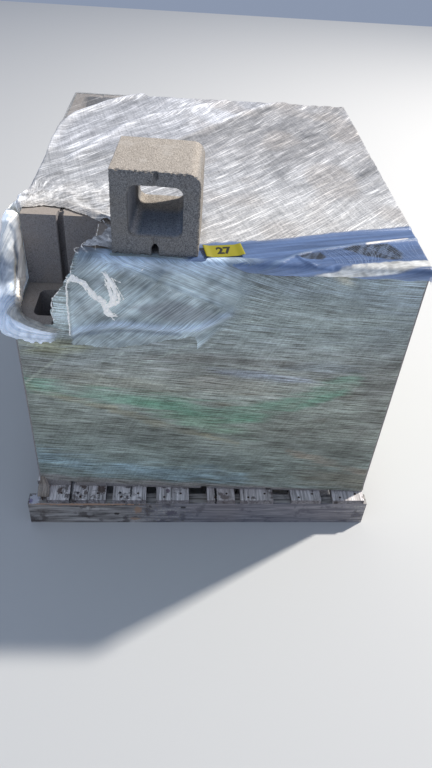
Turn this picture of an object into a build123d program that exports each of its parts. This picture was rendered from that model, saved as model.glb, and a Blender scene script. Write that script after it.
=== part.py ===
from build123d import *
import os

# A wooden pallet loaded with hollow concrete blocks under stretch film, with one
# block taken from the top front corner and stood on top of the load as a sample.
# Millimetres. X runs right along the front, Y runs to the back, Z is up, and the
# origin is on the floor under the middle of the pallet.

# Pallet
pallet_width = 1016.0
pallet_depth = 1219.0
stringer_names = ("front", "middle", "back")
stringer_height = 89.0
stringer_thickness = 38.0
board_thickness = 16.0
board_widths = (102.0, 98.0, 98.0, 97.0, 83.0, 99.0, 91.0, 97.0)
board_gap_shares = (8.0, 21.0, 30.0, 55.0, 17.0, 55.0, 36.0)
left_board_inset = 18.0
right_board_inset = 11.0
broken_strip_width = 37.0
broken_strip_setback = 74.0
split_gap = 3.0
split_length = 210.0

# Nails, two at each crossing of a board and a stringer
nail_edge_distance = 24.0
nail_stagger = 7.0
nail_head_diameter = 7.0
nail_head_thickness = 1.2
nail_shank_diameter = 3.0
nail_length = 57.0

# One block: a cube with one core, a sash groove and one rounded edge
block_size = 194.0
side_wall = 37.0
groove_web = 44.0
plain_web = 32.0
core_corner_radius = 20.0
groove_width = 17.0
groove_depth = 27.0
groove_mouth_flare = 2.0
bullnose_radius = 28.0
bar_mark_width = 9.0
bar_mark_depth = 4.0

# The stack
blocks_across = 5
blocks_deep = 6
layers = 4
block_gap = 1.0
load_shift_x = 23.8
load_shift_y = 21.9
load_turn = 1.33

# The sample block on top, measured from the load's front left corner
sample_from_left = 247.0
sample_setback = 12.3
sample_turn = 3.0

# Stretch film, in layers pressed together
film_thickness = 1.2
film_clearance = 0.3
wrap_foot = 6.0
hole_sill = 8.0
tear_setback = 30.0

# The tear in the top film, as offsets from the inner corner of the empty place
tear_front_offset = -20.0
tear_points = ((-14.0, -120.0), (27.0, -77.0), (-1.0, -27.0), (-90.0, 27.0), (-141.0, 46.0))
# The tear in the front film, across and up from the same corner and the ledge
tear_low_offset = -101.0
tear_low_rise = 24.0

# The loose film at the empty corner: how far it stands out and hangs down. The
# curtain runs along the left side, and the drape goes round the corner to the front.
curtain_overlap = 50.0
curtain_bulge = 46.0
curtain_bulge_back = 117.0
curtain_foot_out = 32.0
corner_out = 9.0
drape_stand_off = 22.0
drape_middle = 56.0
drape_middle_out = 15.0
drape_reach = 112.0
drape_hang = 36.0
drape_rise = 20.0
curtain_slope_rise = 60.0
curtain_slope_start = 68.0
curtain_slope_end = 156.0

# The torn flap on the front, across from the load's left end and down from its top
flap_outline = (
    (126.0, 8.0),
    (131.0, 88.0),
    (128.0, 204.0),
    (300.0, 232.0),
    (452.0, 180.0),
    (466.0, 244.0),
    (482.0, 178.0),
    (513.0, 75.0),
    (496.0, 8.0),
)

# The tail of film drawn down from the load's front left corner to the deck
tail_width = 34.0
tail_lean = 44.0
tail_top = 40.0

# The number label lying on the top film
label_width = 91.0
label_depth = 55.0
label_thickness = 0.4
label_clearance = 11.0
label_setback = 49.0
label_turn = 8.5

deck_top = stringer_height + board_thickness
block_pitch = block_size + block_gap
load_width = blocks_across * block_pitch - block_gap
load_depth = blocks_deep * block_pitch - block_gap
load_top = layers * block_size
ledge = load_top - block_size
wrap_offset = film_clearance + film_thickness
beyond = block_size

# The load's own frame starts at its front left corner on the deck
load_place = (
    Pos(load_shift_x, load_shift_y, deck_top)
    * Rot(0, 0, -load_turn)
    * Pos(-load_width / 2, -load_depth / 2, 0)
)


def stringer_centres():
    """Y of each stringer's middle, the outer two flush with the ends of the boards."""
    span = pallet_depth - stringer_thickness
    last = len(stringer_names) - 1
    return [span * (i / last - 0.5) for i in range(last + 1)]


def board_spans():
    """Left edge and width of each deck board. The gaps share what the boards leave."""
    room = pallet_width - left_board_inset - right_board_inset - sum(board_widths)
    unit = room / sum(board_gap_shares)
    left = left_board_inset - pallet_width / 2
    spans = []
    for width, share in zip(board_widths, board_gap_shares + (0.0,)):
        spans.append((left, width))
        left += width + unit * share
    return spans


def nail_places():
    """Every nail's X and Y: two at each crossing, one nearer the front than the other."""
    places = []
    for left, width in board_spans():
        for y in stringer_centres():
            places.append((left + nail_edge_distance, y - nail_stagger))
            places.append((left + width - nail_edge_distance, y + nail_stagger))
    return places


def make_nail():
    """A nail standing head up, with the top of its head at the origin."""
    head = Pos(0, 0, -nail_head_thickness / 2) * Cylinder(nail_head_diameter / 2, nail_head_thickness)
    shank = Pos(0, 0, -nail_length / 2) * Cylinder(nail_shank_diameter / 2, nail_length)
    return head + shank


def make_nails():
    nail = make_nail()
    return [Pos(x, y, deck_top) * nail for x, y in nail_places()]


def make_stringer(y, nails):
    body = Pos(0, y, stringer_height / 2) * Box(pallet_width, stringer_thickness, stringer_height)
    near = [nail for nail in nails if abs(nail.center().Y - y) < stringer_thickness]
    return body - near


def make_board(left, width, nails):
    middle = (left + width / 2, 0, deck_top - board_thickness / 2)
    body = Pos(*middle) * Box(width, pallet_depth, board_thickness)
    near = [nail for nail in nails if left < nail.center().X < left + width]
    return body - near


def break_board(board, left):
    """The left strip of a board, split along the grain and broken off short at the front."""
    front = -pallet_depth / 2
    tall = board_thickness * 2
    strip_corner = (Align.MIN, Align.MIN, Align.CENTER)
    split_corner = (Align.MAX, Align.MIN, Align.CENTER)
    strip = Box(broken_strip_width, broken_strip_setback, tall, align=strip_corner)
    split = Box(split_gap, split_length, tall, align=split_corner)
    board -= Pos(left, front, deck_top) * strip
    return board - Pos(left + broken_strip_width, front, deck_top) * split


def block_section():
    """The block seen along its core, with the groove to the front."""
    half = block_size / 2
    outline = Rectangle(block_size, block_size)
    back_right = outline.vertices().group_by(Axis.Y)[-1].sort_by(Axis.X)[-1]
    outline = fillet(back_right, bullnose_radius)
    core_width = block_size - 2 * side_wall
    core_depth = block_size - groove_web - plain_web
    core_middle = (groove_web - plain_web) / 2
    core = Pos(0, core_middle) * RectangleRounded(core_width, core_depth, core_corner_radius)
    groove_end = Pos(0, groove_depth - groove_width / 2 - half) * Circle(groove_width / 2)
    groove_run = Pos(0, -half) * Rectangle(groove_width, 2 * (groove_depth - groove_width / 2))
    mouth = groove_width / 2 + groove_mouth_flare
    flare = Polygon(
        (-mouth, -half),
        (mouth, -half),
        (groove_width / 2, groove_mouth_flare - half),
        (-groove_width / 2, groove_mouth_flare - half),
        align=None,
    )
    return outline - core - groove_end - groove_run - flare


def make_block():
    """A block with its core upright, standing on Z, with the bar's mark across its top."""
    block = extrude(block_section(), block_size)
    mark = Box(bar_mark_width, block_size, 2 * bar_mark_depth)
    return block - Pos(0, 0, block_size) * mark


def row_of_blocks(block, row, layer):
    """One row across the load. The front row of the top layer lacks its left block."""
    first = 1 if row == 0 and layer == layers - 1 else 0
    blocks = []
    for column in range(first, blocks_across):
        x = column * block_pitch + block_size / 2
        y = row * block_pitch + block_size / 2
        blocks.append(load_place * Pos(x, y, layer * block_size) * block)
    return blocks


def make_sample(block):
    """The block taken out, on its side on top of the film: core level, groove down."""
    z = load_top + wrap_offset + block_size / 2
    centre = Pos(sample_from_left + block_size / 2, sample_setback + block_size / 2, z)
    lying = Pos(0, block_size / 2, 0) * Rot(90, 0, 0)
    return load_place * centre * Rot(0, 0, -sample_turn) * lying * block


def slab(points, thickness, z):
    """A flat sheet of film with this outline, its underside at z."""
    return Pos(0, 0, z) * extrude(Polygon(*points, align=None), thickness)


def make_side_wrap():
    """Film round the four sides, open at the place of the missing block."""
    height = load_top + film_clearance - wrap_foot
    outer = Rectangle(load_width + 2 * wrap_offset, load_depth + 2 * wrap_offset)
    outer = fillet(outer.vertices(), film_thickness)
    inner = Rectangle(load_width + 2 * film_clearance, load_depth + 2 * film_clearance)
    ring = Pos(load_width / 2, load_depth / 2, wrap_foot) * extrude(outer - inner, height)
    sill = ledge + hole_sill
    top = load_top + beyond
    front_hole = Polygon(
        (-beyond, sill),
        (block_pitch + tear_low_offset, sill),
        (block_pitch + tear_low_offset, ledge + tear_low_rise),
        (block_pitch + tear_front_offset, load_top),
        (block_pitch + tear_front_offset, top),
        (-beyond, top),
        align=None,
    )
    front_cut = extrude(Plane.XZ * front_hole, side_wall, both=True)
    side_cut = Pos(0, block_pitch + tear_setback, sill) * Box(
        side_wall * 2, block_pitch * 2, block_size + beyond, align=(Align.CENTER, Align.MAX, Align.MIN)
    )
    return ring - front_cut - side_cut


def make_top_wrap():
    """Film over the top, torn open at the front left."""
    corner = block_pitch
    sheet = Rectangle(load_width + 2 * wrap_offset, load_depth + 2 * wrap_offset)
    sheet = fillet(sheet.vertices(), film_thickness)
    body = Pos(load_width / 2, load_depth / 2, load_top + film_clearance) * extrude(sheet, film_thickness)
    tear = [(-beyond, -beyond), (corner + tear_front_offset, -beyond)]
    tear += [(corner + x, corner + y) for x, y in tear_points]
    tear += [(-wrap_offset, corner + tear_setback), (-beyond, corner + tear_setback)]
    return body - slab(tear, film_thickness * 4, load_top - film_thickness)


def make_corner_film():
    """Loose film round the empty corner: a curtain down the left, a low drape in front."""
    skin = wrap_offset + film_clearance + film_thickness / 2
    back = (-skin, block_pitch + curtain_overlap)
    side = (-curtain_foot_out, 0.0)
    middle = (drape_middle, -drape_middle_out)
    path = Wire(
        [
            ThreePointArc(back, (-curtain_bulge, curtain_bulge_back), side),
            ThreePointArc(side, (-corner_out, -drape_stand_off), middle),
            Line(middle, (drape_reach, -skin)),
        ]
    )
    low = ledge - drape_hang
    band = Pos(0, 0, low) * extrude(trace(path, line_width=film_thickness), load_top - low)
    slope = Polygon(
        (-beyond, ledge + drape_rise),
        (0, ledge + drape_rise),
        (curtain_slope_start, ledge + curtain_slope_rise),
        (curtain_slope_end, load_top),
        (curtain_slope_end, load_top + beyond),
        (-beyond, load_top + beyond),
        align=None,
    )
    return band - extrude(Plane.YZ * slope, beyond, both=True)


def make_front_flap():
    """A torn flap lying loose on the front film, hanging from the top edge."""
    points = [(x, load_top - drop) for x, drop in flap_outline]
    lifted = Plane.XZ.offset(wrap_offset + film_clearance)
    return extrude(lifted * Polygon(*points, align=None), film_thickness)


def make_wrap_tail():
    """Film drawn down and forward from the load's corner to the deck board."""
    skin = wrap_offset + film_clearance
    points = (
        (-skin, tail_top),
        (-skin - tail_lean, film_clearance),
        (-skin - tail_lean - film_thickness, film_clearance),
        (-skin - film_thickness, tail_top),
    )
    return extrude(Plane.YZ * Polygon(*points, align=None), tail_width)


def make_label():
    """The paper lies just clear of the sample's right face."""
    x = sample_from_left + block_size + label_clearance + label_width / 2
    lying = (Align.CENTER, Align.CENTER, Align.MIN)
    body = Box(label_width, label_depth, label_thickness, align=lying)
    return Pos(x, label_setback, load_top + wrap_offset) * Rot(0, 0, label_turn) * body


def save(name, solids):
    """One STEP file for each node, of one solid or of several that stay apart."""
    shape = solids[0] if len(solids) == 1 else Compound(solids)
    export_step(shape, f"parts/{name}.step")


def save_pallet():
    nails = make_nails()
    for name, y in zip(stringer_names, stringer_centres()):
        save(f"stringer_{name}", [make_stringer(y, nails)])
    for number, (left, width) in enumerate(board_spans(), start=1):
        board = make_board(left, width, nails)
        if number == 1:
            board = break_board(board, left)
        save(f"deck_board_{number}", [board])
    save("deck_nails", nails)


def save_load():
    block = make_block()
    for layer in range(layers):
        for row in range(blocks_deep):
            save(f"blocks_layer{layer + 1}_row{row + 1}", row_of_blocks(block, row, layer))
    save("sample_block", [make_sample(block)])


def save_film():
    save("side_wrap", [load_place * make_side_wrap()])
    save("top_wrap", [load_place * make_top_wrap()])
    save("corner_film", [load_place * make_corner_film()])
    save("front_flap", [load_place * make_front_flap()])
    save("wrap_tail", [load_place * make_wrap_tail()])
    save("number_label", [load_place * make_label()])


os.makedirs("parts", exist_ok=True)
save_pallet()
save_load()
save_film()

block_litres = make_block().volume / 1e6
block_count = blocks_across * blocks_deep * layers
print(f"one block holds {block_litres:.2f} litres of concrete, {block_count} blocks in all")
print(f"load {load_width:.0f} x {load_depth:.0f} x {load_top:.0f}")
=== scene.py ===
import math

import bmesh
import bpy
from mathutils import Matrix, Vector, noise


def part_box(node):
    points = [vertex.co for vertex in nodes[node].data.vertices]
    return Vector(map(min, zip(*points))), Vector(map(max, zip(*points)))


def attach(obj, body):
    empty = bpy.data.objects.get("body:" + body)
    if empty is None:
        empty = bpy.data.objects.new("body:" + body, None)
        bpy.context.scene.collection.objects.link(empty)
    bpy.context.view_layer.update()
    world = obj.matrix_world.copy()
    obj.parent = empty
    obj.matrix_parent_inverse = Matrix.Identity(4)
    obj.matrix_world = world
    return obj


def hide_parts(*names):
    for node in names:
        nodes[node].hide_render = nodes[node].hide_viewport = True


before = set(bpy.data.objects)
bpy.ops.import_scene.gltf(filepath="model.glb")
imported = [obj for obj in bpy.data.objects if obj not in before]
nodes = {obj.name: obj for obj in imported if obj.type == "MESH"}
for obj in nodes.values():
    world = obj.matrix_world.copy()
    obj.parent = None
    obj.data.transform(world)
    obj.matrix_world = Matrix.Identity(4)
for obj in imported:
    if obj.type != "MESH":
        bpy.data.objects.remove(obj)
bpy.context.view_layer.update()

# A pallet of hollow concrete blocks under stretch film, torn open at one top corner,
# with one block stood on top as a sample. Metres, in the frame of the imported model.

body = "root"

# The load has its own frame: from its front left corner on the deck, x along the
# front, y to the back, z up. It is turned a little on the pallet.
load = {
    "width": 0.974,
    "depth": 1.169,
    "height": 0.776,
    "ledge": 0.582,
    "pitch": 0.195,
    "shiftX": 0.0238,
    "shiftY": 0.0219,
    "turnDegrees": 1.33,
    "edgeRadius": 0.006,
}
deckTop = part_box("deck_board_2")[1][2]
loadPlace = (
    Matrix.Translation((load["shiftX"], load["shiftY"], deckTop))
    @ Matrix.Rotation(-math.radians(load["turnDegrees"]), 4, "Z")
    @ Matrix.Translation((-load["width"] / 2, -load["depth"] / 2, 0))
)


# Small helpers

def deselectAll():
    if bpy.context.mode != "OBJECT":
        bpy.ops.object.mode_set(mode="OBJECT")
    bpy.ops.object.select_all(action="DESELECT")


def makeActive(obj):
    deselectAll()
    obj.select_set(True)
    bpy.context.view_layer.objects.active = obj


def startEdit(obj):
    makeActive(obj)
    bpy.ops.object.mode_set(mode="EDIT")
    bpy.ops.mesh.select_all(action="DESELECT")


def endEdit():
    bpy.ops.object.mode_set(mode="OBJECT")


def deleteFaces(obj, isGone):
    # isGone takes the x, y and z of a face's middle
    startEdit(obj)
    bpy.ops.mesh.select_mode(type="FACE")
    mesh = bmesh.from_edit_mesh(obj.data)
    for face in mesh.faces:
        face.select_set(isGone(*face.calc_center_median()))
    mesh.select_flush_mode()
    bmesh.update_edit_mesh(obj.data)
    bpy.ops.mesh.delete(type="FACE")
    endEdit()


def applyModifier(obj, kind, **settings):
    makeActive(obj)
    modifier = obj.modifiers.new(kind.title(), kind)
    for name, value in settings.items():
        setattr(modifier, name, value)
    bpy.ops.object.modifier_apply(modifier=modifier.name)


def finishPiece(obj, material, slot, *standsFor):
    obj.data.materials.clear()
    obj.data.materials.append(material)
    if standsFor:
        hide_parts(*standsFor)
    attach(obj, body)


def finishFilm(obj, material, *standsFor):
    # from the load's frame to the model's
    obj.data.transform(loadPlace)
    obj.data.shade_smooth()
    finishPiece(obj, material, "stretch_film", *standsFor)


def smooth(low, high, value):
    share = min(1.0, max(0.0, (value - low) / (high - low)))
    return share * share * (3 - 2 * share)


def bell(value, half):
    # 1 in the middle, and about a third of it at half
    return math.exp(-((value / half) ** 2))


def alongLine(points, value):
    # straight lines through given (position, amount) pairs
    if value <= points[0][0]:
        return points[0][1]
    for (x0, y0), (x1, y1) in zip(points, points[1:]):
        if value <= x1:
            return y0 + (y1 - y0) * (value - x0) / (x1 - x0)
    return points[-1][1]


def streaks(s, t, long, wide, seed):
    # noise drawn out along s, from -1 to 1
    return noise.noise(Vector((s / long, t / wide, seed)))


def noiseSum(point, layers):
    # each layer has its scale and its strength
    return sum(noise.noise(point * scale) * strength for scale, strength in layers)


def cloudAt(clouds, x, y):
    # lighter and darker patches, each with its scale along x and y, its place in the noise
    # and its strength
    share = 1.0
    for alongX, alongY, seed, strength in clouds:
        share += strength * noise.noise(Vector((x * alongX, y * alongY, seed)))
    return share


def mixTone(colour, tone, share):
    return colour.lerp(Vector(tone), share)


def turned(x, y, turn):
    # turn holds the cosine and the sine of the turn
    cosine, sine = turn
    return cosine * x + sine * y, cosine * y - sine * x


def nearestOn(line, x, y):
    # the nearest point of a line of points, and how far it is
    best = None
    here = Vector((x, y))
    for start, end in zip(line, line[1:]):
        first = Vector(start)
        run = Vector(end) - first
        share = min(1.0, max(0.0, (here - first).dot(run) / run.length_squared))
        point = first + run * share
        gap = (here - point).length
        if best is None or gap < best[1]:
            best = (point, gap)
    return best


def foldLift(x, y, folds):
    # each fold is a line of points, its height and its half width
    lift = 0.0
    for line, height, half in folds:
        gap = nearestOn(line, x, y)[1]
        lift += height * bell(gap, half)
    return lift


def tearAlong(obj, axes, line, near, ragged, seed):
    # pulls the open edge that is near the line onto it, and leaves it ragged
    mesh = bmesh.new()
    mesh.from_mesh(obj.data)
    first, second = axes
    for vertex in mesh.verts:
        if not vertex.is_boundary:
            continue
        point, gap = nearestOn(line, vertex.co[first], vertex.co[second])
        if gap < near:
            wobble = ragged * noise.noise_vector(Vector((point.x, point.y, seed)) / (ragged * 3))
            vertex.co[first] = point.x + wobble.x
            vertex.co[second] = point.y + wobble.y
    mesh.to_mesh(obj.data)
    mesh.free()


# Camera and light

cameraFit = {
    "place": (-0.1054, -1.8366, 1.603),
    "yawDegrees": 5.70,
    "pitchDegrees": 40.22,
    "rollDegrees": 4.61,
    "lens": 30.03,
    "sensor": 36.0,
}

studio = {
    "keyLight": {
        "place": (4.96, 2.0, 5.95),
        "size": 0.35,
        "power": 790.0,
        "colour": (1.0, 0.955, 0.89),
    },
    "fillLight": {
        "place": (-2.2, -3.0, 2.6),
        "size": 3.0,
        "power": 18.0,
        "colour": (0.80, 0.90, 1.0),
    },
    "worldColour": (0.62, 0.74, 1.0),
    "worldStrength": 0.42,
    "floorSize": 14.0,
    "floorColour": (0.62, 0.62, 0.61),
    "floorRoughness": 0.9,
}


def addCamera():
    yaw, pitch, roll = (math.radians(cameraFit[k]) for k in ("yawDegrees", "pitchDegrees", "rollDegrees"))
    ahead = Vector((math.sin(yaw) * math.cos(pitch), math.cos(yaw) * math.cos(pitch), -math.sin(pitch)))
    right = Vector((math.cos(yaw), -math.sin(yaw), 0))
    up = right.cross(ahead)
    rolledRight = right * math.cos(roll) + up * math.sin(roll)
    rolledUp = up * math.cos(roll) - right * math.sin(roll)
    turn = Matrix((rolledRight, rolledUp, -ahead)).transposed().to_4x4()
    bpy.ops.object.camera_add()
    camera = bpy.context.object
    camera.matrix_world = Matrix.Translation(cameraFit["place"]) @ turn
    camera.data.lens = cameraFit["lens"]
    camera.data.sensor_width = cameraFit["sensor"]
    camera.data.dof.use_dof = False
    bpy.context.scene.camera = camera


def addAreaLight(name, place, size, power, colour):
    bpy.ops.object.light_add(type="AREA", location=place)
    light = bpy.context.object
    light.name = name
    light.rotation_mode = "QUATERNION"
    light.rotation_quaternion = (-Vector(place)).to_track_quat("-Z", "Y")
    light.data.size = size
    light.data.energy = power
    light.data.color = colour


def addStudio():
    for name in ("keyLight", "fillLight"):
        addAreaLight(name, **studio[name])
    world = bpy.data.worlds.new("softSky")
    world.use_nodes = True
    sky = world.node_tree.nodes["Background"]
    setInputs(sky, {"Color": (*studio["worldColour"], 1), "Strength": studio["worldStrength"]})
    bpy.context.scene.world = world
    bpy.context.scene.view_settings.view_transform = "Standard"
    bpy.ops.mesh.primitive_plane_add(size=studio["floorSize"], location=(0, 0, 0))
    floor = bpy.context.object
    floor.name = "floor"
    material, shader = newMaterial("paleFloor")
    setInputs(shader, {"Base Color": (*studio["floorColour"], 1), "Roughness": studio["floorRoughness"]})
    floor.data.materials.append(material)


# Material helpers

def newMaterial(name):
    material = bpy.data.materials.new(name)
    material.use_nodes = True
    return material, material.node_tree.nodes["Principled BSDF"]


def setInputs(node, values):
    for name, value in values.items():
        node.inputs[name].default_value = value


def addNode(shader, kind, inputs=None, **settings):
    node = shader.id_data.nodes.new(kind)
    for name, value in settings.items():
        setattr(node, name, value)
    for name, value in (inputs or {}).items():
        if isinstance(value, bpy.types.NodeSocket):
            shader.id_data.links.new(value, node.inputs[name])
        else:
            node.inputs[name].default_value = value
    return node


def linkTo(shader, socket, name):
    shader.id_data.links.new(socket, shader.inputs[name])


def objectPlace(shader, scale=(1, 1, 1)):
    place = addNode(shader, "ShaderNodeTexCoord").outputs["Object"]
    return addNode(shader, "ShaderNodeMapping", {"Vector": place, "Scale": scale}).outputs[0]


def flowPlace(shader, layer, scale):
    place = addNode(shader, "ShaderNodeUVMap", uv_map=layer).outputs[0]
    return addNode(shader, "ShaderNodeMapping", {"Vector": place, "Scale": scale}).outputs[0]


def noiseAt(shader, place, scale, detail=3.0, roughness=0.6, distortion=0.0):
    inputs = {
        "Vector": place,
        "Scale": scale,
        "Detail": detail,
        "Roughness": roughness,
        "Distortion": distortion,
    }
    return addNode(shader, "ShaderNodeTexNoise", inputs).outputs["Fac"]


def ramp(shader, factor, *stops):
    node = addNode(shader, "ShaderNodeValToRGB", {"Fac": factor})
    points = node.color_ramp.elements
    while len(points) < len(stops):
        points.new(0.5)
    for point, (position, colour) in zip(points, stops):
        point.position = position
        point.color = (*colour, 1) if isinstance(colour, tuple) else (colour, colour, colour, 1)
    return node.outputs["Color"]


def mixColour(shader, factor, first, second, blend="MIX"):
    node = shader.id_data.nodes.new("ShaderNodeMix")
    node.data_type = "RGBA"
    node.blend_type = blend
    # of a mix node's many sockets these three are the factor and the two colours
    for socket, value in ((node.inputs[0], factor), (node.inputs[6], first), (node.inputs[7], second)):
        if isinstance(value, bpy.types.NodeSocket):
            shader.id_data.links.new(value, socket)
        else:
            socket.default_value = (*value, 1) if isinstance(value, tuple) else value
    return node.outputs[2]


def doMath(shader, operation, first, second):
    node = shader.id_data.nodes.new("ShaderNodeMath")
    node.operation = operation
    for socket, value in zip(node.inputs, (first, second)):
        if isinstance(value, bpy.types.NodeSocket):
            shader.id_data.links.new(value, socket)
        else:
            socket.default_value = value
    return node.outputs[0]


def addBump(shader, *heights):
    # heights are (socket, distance, strength), the coarsest first
    normal = None
    for height, distance, strength in heights:
        inputs = {"Height": height, "Distance": distance, "Strength": strength}
        if normal:
            inputs["Normal"] = normal
        normal = addNode(shader, "ShaderNodeBump", inputs).outputs[0]
    linkTo(shader, normal, "Normal")


# Materials

# each noise: scale, detail and roughness
concreteNoises = {
    "blotch": (14.0, 4.0, 0.6),
    "grain": (420.0, 3.0, 0.75),
    "coarse": (190.0, 3.0, 0.75),
    "pores": (260.0, 2.0, 0.6),
}

# each layer: its noise, two values of it with how much the layer covers there, and its colour
concreteLayers = (
    ("grain", (0.36, 0.0), (0.64, 1.0), "light"),
    ("coarse", (0.52, 0.0), (0.66, 0.45), "light"),
    ("coarse", (0.36, 0.35), (0.44, 0.0), "pore"),
    ("blotch", (0.40, 0.0), (0.72, 0.6), "warm"),
    ("pores", (0.27, 0.6), (0.36, 0.0), "pore"),
)


def layColours(shader, look, noises, layers):
    # from the look's dark colour up
    surface = look["dark"]
    for name, first, second, colour in layers:
        surface = mixColour(shader, ramp(shader, noises[name], first, second), surface, look[colour])
    return surface


def upwardness(shader):
    # 1 where a face looks straight up
    facing = addNode(shader, "ShaderNodeNewGeometry").outputs["Normal"]
    return addNode(shader, "ShaderNodeSeparateXYZ", {"Vector": facing}).outputs["Z"]


def blended(shader, first, second, share):
    # share is the second one's part of the whole
    least = doMath(shader, "MULTIPLY", second, share)
    return doMath(shader, "ADD", doMath(shader, "MULTIPLY", first, 1 - share), least)


def tintOf(shader):
    return addNode(shader, "ShaderNodeAttribute", attribute_name="tint")


def makeConcrete(name, look):
    material, shader = newMaterial(name)
    place = objectPlace(shader)
    noises = {key: noiseAt(shader, place, *values) for key, values in concreteNoises.items()}
    surface = layColours(shader, look, noises, concreteLayers)
    # dust and painted sunlight: the faces that look up are lighter and warmer
    sunlitDustShare = ramp(shader, upwardness(shader), (0.45, 0.0), (0.85, 1.0))
    sunlitDusty = doMath(shader, "MULTIPLY", sunlitDustShare, look["sunlitDustAmount"])
    gritty = blended(shader, noises["grain"], noises["coarse"], 0.25)
    sunlitDust = mixColour(shader, ramp(shader, gritty, (0.40, 0.0), (0.60, 1.0)), look["sunlitDust"], look["sunlitDustLight"])
    scuffShare = ramp(shader, noises["blotch"], (0.56, 0.0), (0.70, 0.4))
    surface = mixColour(shader, sunlitDusty, surface, mixColour(shader, scuffShare, sunlitDust, look["scuff"]))
    # the sample's painted light and shade come in through its tint attribute
    if look["tinted"]:
        surface = mixColour(shader, 1.0, surface, tintOf(shader).outputs["Color"], "MULTIPLY")
    linkTo(shader, surface, "Base Color")
    setInputs(shader, {"Roughness": 0.92, "Specular IOR Level": 0.2})
    addBump(shader, (noises["pores"], 0.003, 0.35), (noises["grain"], 0.0015, 0.5))
    return material


# what all films share: how the noises are drawn out or scaled, how deep they are, and the
# parts of them over which each effect sets in
filmGrain = {
    "broad": (2.2, 46.0, 1),
    "cross": (5.0, 150.0, 1),
    "crinkle": 55.0,
    "mottle": 230.0,
    "broadDeep": 0.006,
    "fineDeep": 0.003,
    "crossDeep": 0.002,
    "hairDeep": 0.0008,
    "mottled": (0.34, 0.66),
    "gathered": ((0.40, 0.2), (0.56, 1.0)),
    "shining": (0.52, 0.66),
    "thickened": (0.34, 0.56),
    "dulled": (0.3, 0.7),
}


def rampOver(shader, value, part, first, second):
    # an effect that sets in over this part of a noise
    low, high = filmGrain[part]
    return ramp(shader, value, (low, first), (high, second))


def makeFilm(name, settings):
    # uv maps flow and cross: metres along the streaks and across them. Attribute tint:
    # the colour, with each film's painted light and shade, and in alpha how much the film covers
    material, shader = newMaterial(name)
    broad = noiseAt(shader, flowPlace(shader, "flow", filmGrain["broad"]), 1.0)
    fine = noiseAt(shader, flowPlace(shader, "flow", settings["fine"]), 1.0, detail=4.0, roughness=0.7)
    glintHair = noiseAt(shader, flowPlace(shader, "flow", settings["glint"]), 1.0, detail=2.0, roughness=0.5)
    cross = noiseAt(shader, flowPlace(shader, "cross", filmGrain["cross"]), 1.0)
    crinkle = noiseAt(shader, objectPlace(shader), filmGrain["crinkle"])
    mottle = noiseAt(shader, objectPlace(shader), filmGrain["mottle"], roughness=0.7)
    tint = tintOf(shader)
    streak = blended(shader, fine, broad, settings["broadShare"])
    streak = blended(shader, streak, cross, settings["crossShare"])
    darkStop = (settings["darkAt"], settings["dark"])
    lightness = ramp(shader, streak, darkStop, (settings["lightAt"], settings["light"]))
    grain = rampOver(shader, mottle, "mottled", 1 - settings["mottle"], 1.0)
    # painted highlights: bright white hairs, where the broad streaks are gathered
    gathered = ramp(shader, broad, *filmGrain["gathered"])
    shine = rampOver(shader, glintHair, "shining", 0.0, settings["glintHair"])
    shine = doMath(shader, "MULTIPLY", shine, gathered)
    colour = mixColour(shader, 1.0, lightness, grain, "MULTIPLY")
    colour = mixColour(shader, shine, colour, (1.0, 1.0, 1.0))
    colour = mixColour(shader, 1.0, colour, tint.outputs["Color"], "MULTIPLY")
    linkTo(shader, colour, "Base Color")
    thick = rampOver(shader, streak, "thickened", settings["thin"], settings["thick"])
    linkTo(shader, doMath(shader, "MULTIPLY", thick, tint.outputs["Alpha"]), "Alpha")
    gloss = rampOver(shader, crinkle, "dulled", settings["glossLow"], settings["glossHigh"])
    linkTo(shader, gloss, "Roughness")
    bump = settings["bump"]
    addBump(
        shader,
        (broad, filmGrain["broadDeep"], bump * settings["broadShare"]),
        (fine, filmGrain["fineDeep"], bump),
        (cross, filmGrain["crossDeep"], bump * 0.6),
        (glintHair, filmGrain["hairDeep"], bump),
    )
    return material


# what all wood shares. A mark is full out to markFull of its half size and ends at markEnd
woodGrain = {
    "warmth": 3.1,
    "ragged": 170.0,
    "fibreFiner": 5,
    "fibreShorter": 2.5,
    "raggedRim": 2.2,
    "markFull": 0.75,
    "markEnd": 1.1,
}


def markShare(shader, ragged, middle, half, strength):
    # how much of a mark lies here: strength inside an ellipsoid, fading out over a ragged rim
    coords = addNode(shader, "ShaderNodeTexCoord")
    mapping = addNode(shader, "ShaderNodeMapping", {
        "Vector": coords.outputs["Object"],
        "Scale": tuple(1 / size for size in half),
        "Location": tuple(-place / size for place, size in zip(middle, half)),
    })
    lengthNode = addNode(shader, "ShaderNodeVectorMath", {0: mapping.outputs["Vector"]}, operation="LENGTH")
    rim = doMath(shader, "MULTIPLY", doMath(shader, "SUBTRACT", ragged, 0.5), woodGrain["raggedRim"])
    uneven = doMath(shader, "ADD", lengthNode.outputs["Value"], rim)
    return ramp(shader, uneven, (woodGrain["markFull"], strength), (woodGrain["markEnd"], 0.0))


def grainPlace(shader, along, look, finer=1, shorter=1):
    # object coordinates drawn out along the grain
    stretch = [look["ring"] * finer] * 3
    stretch[along] = look["run"] * shorter
    return objectPlace(shader, tuple(stretch))


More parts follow.
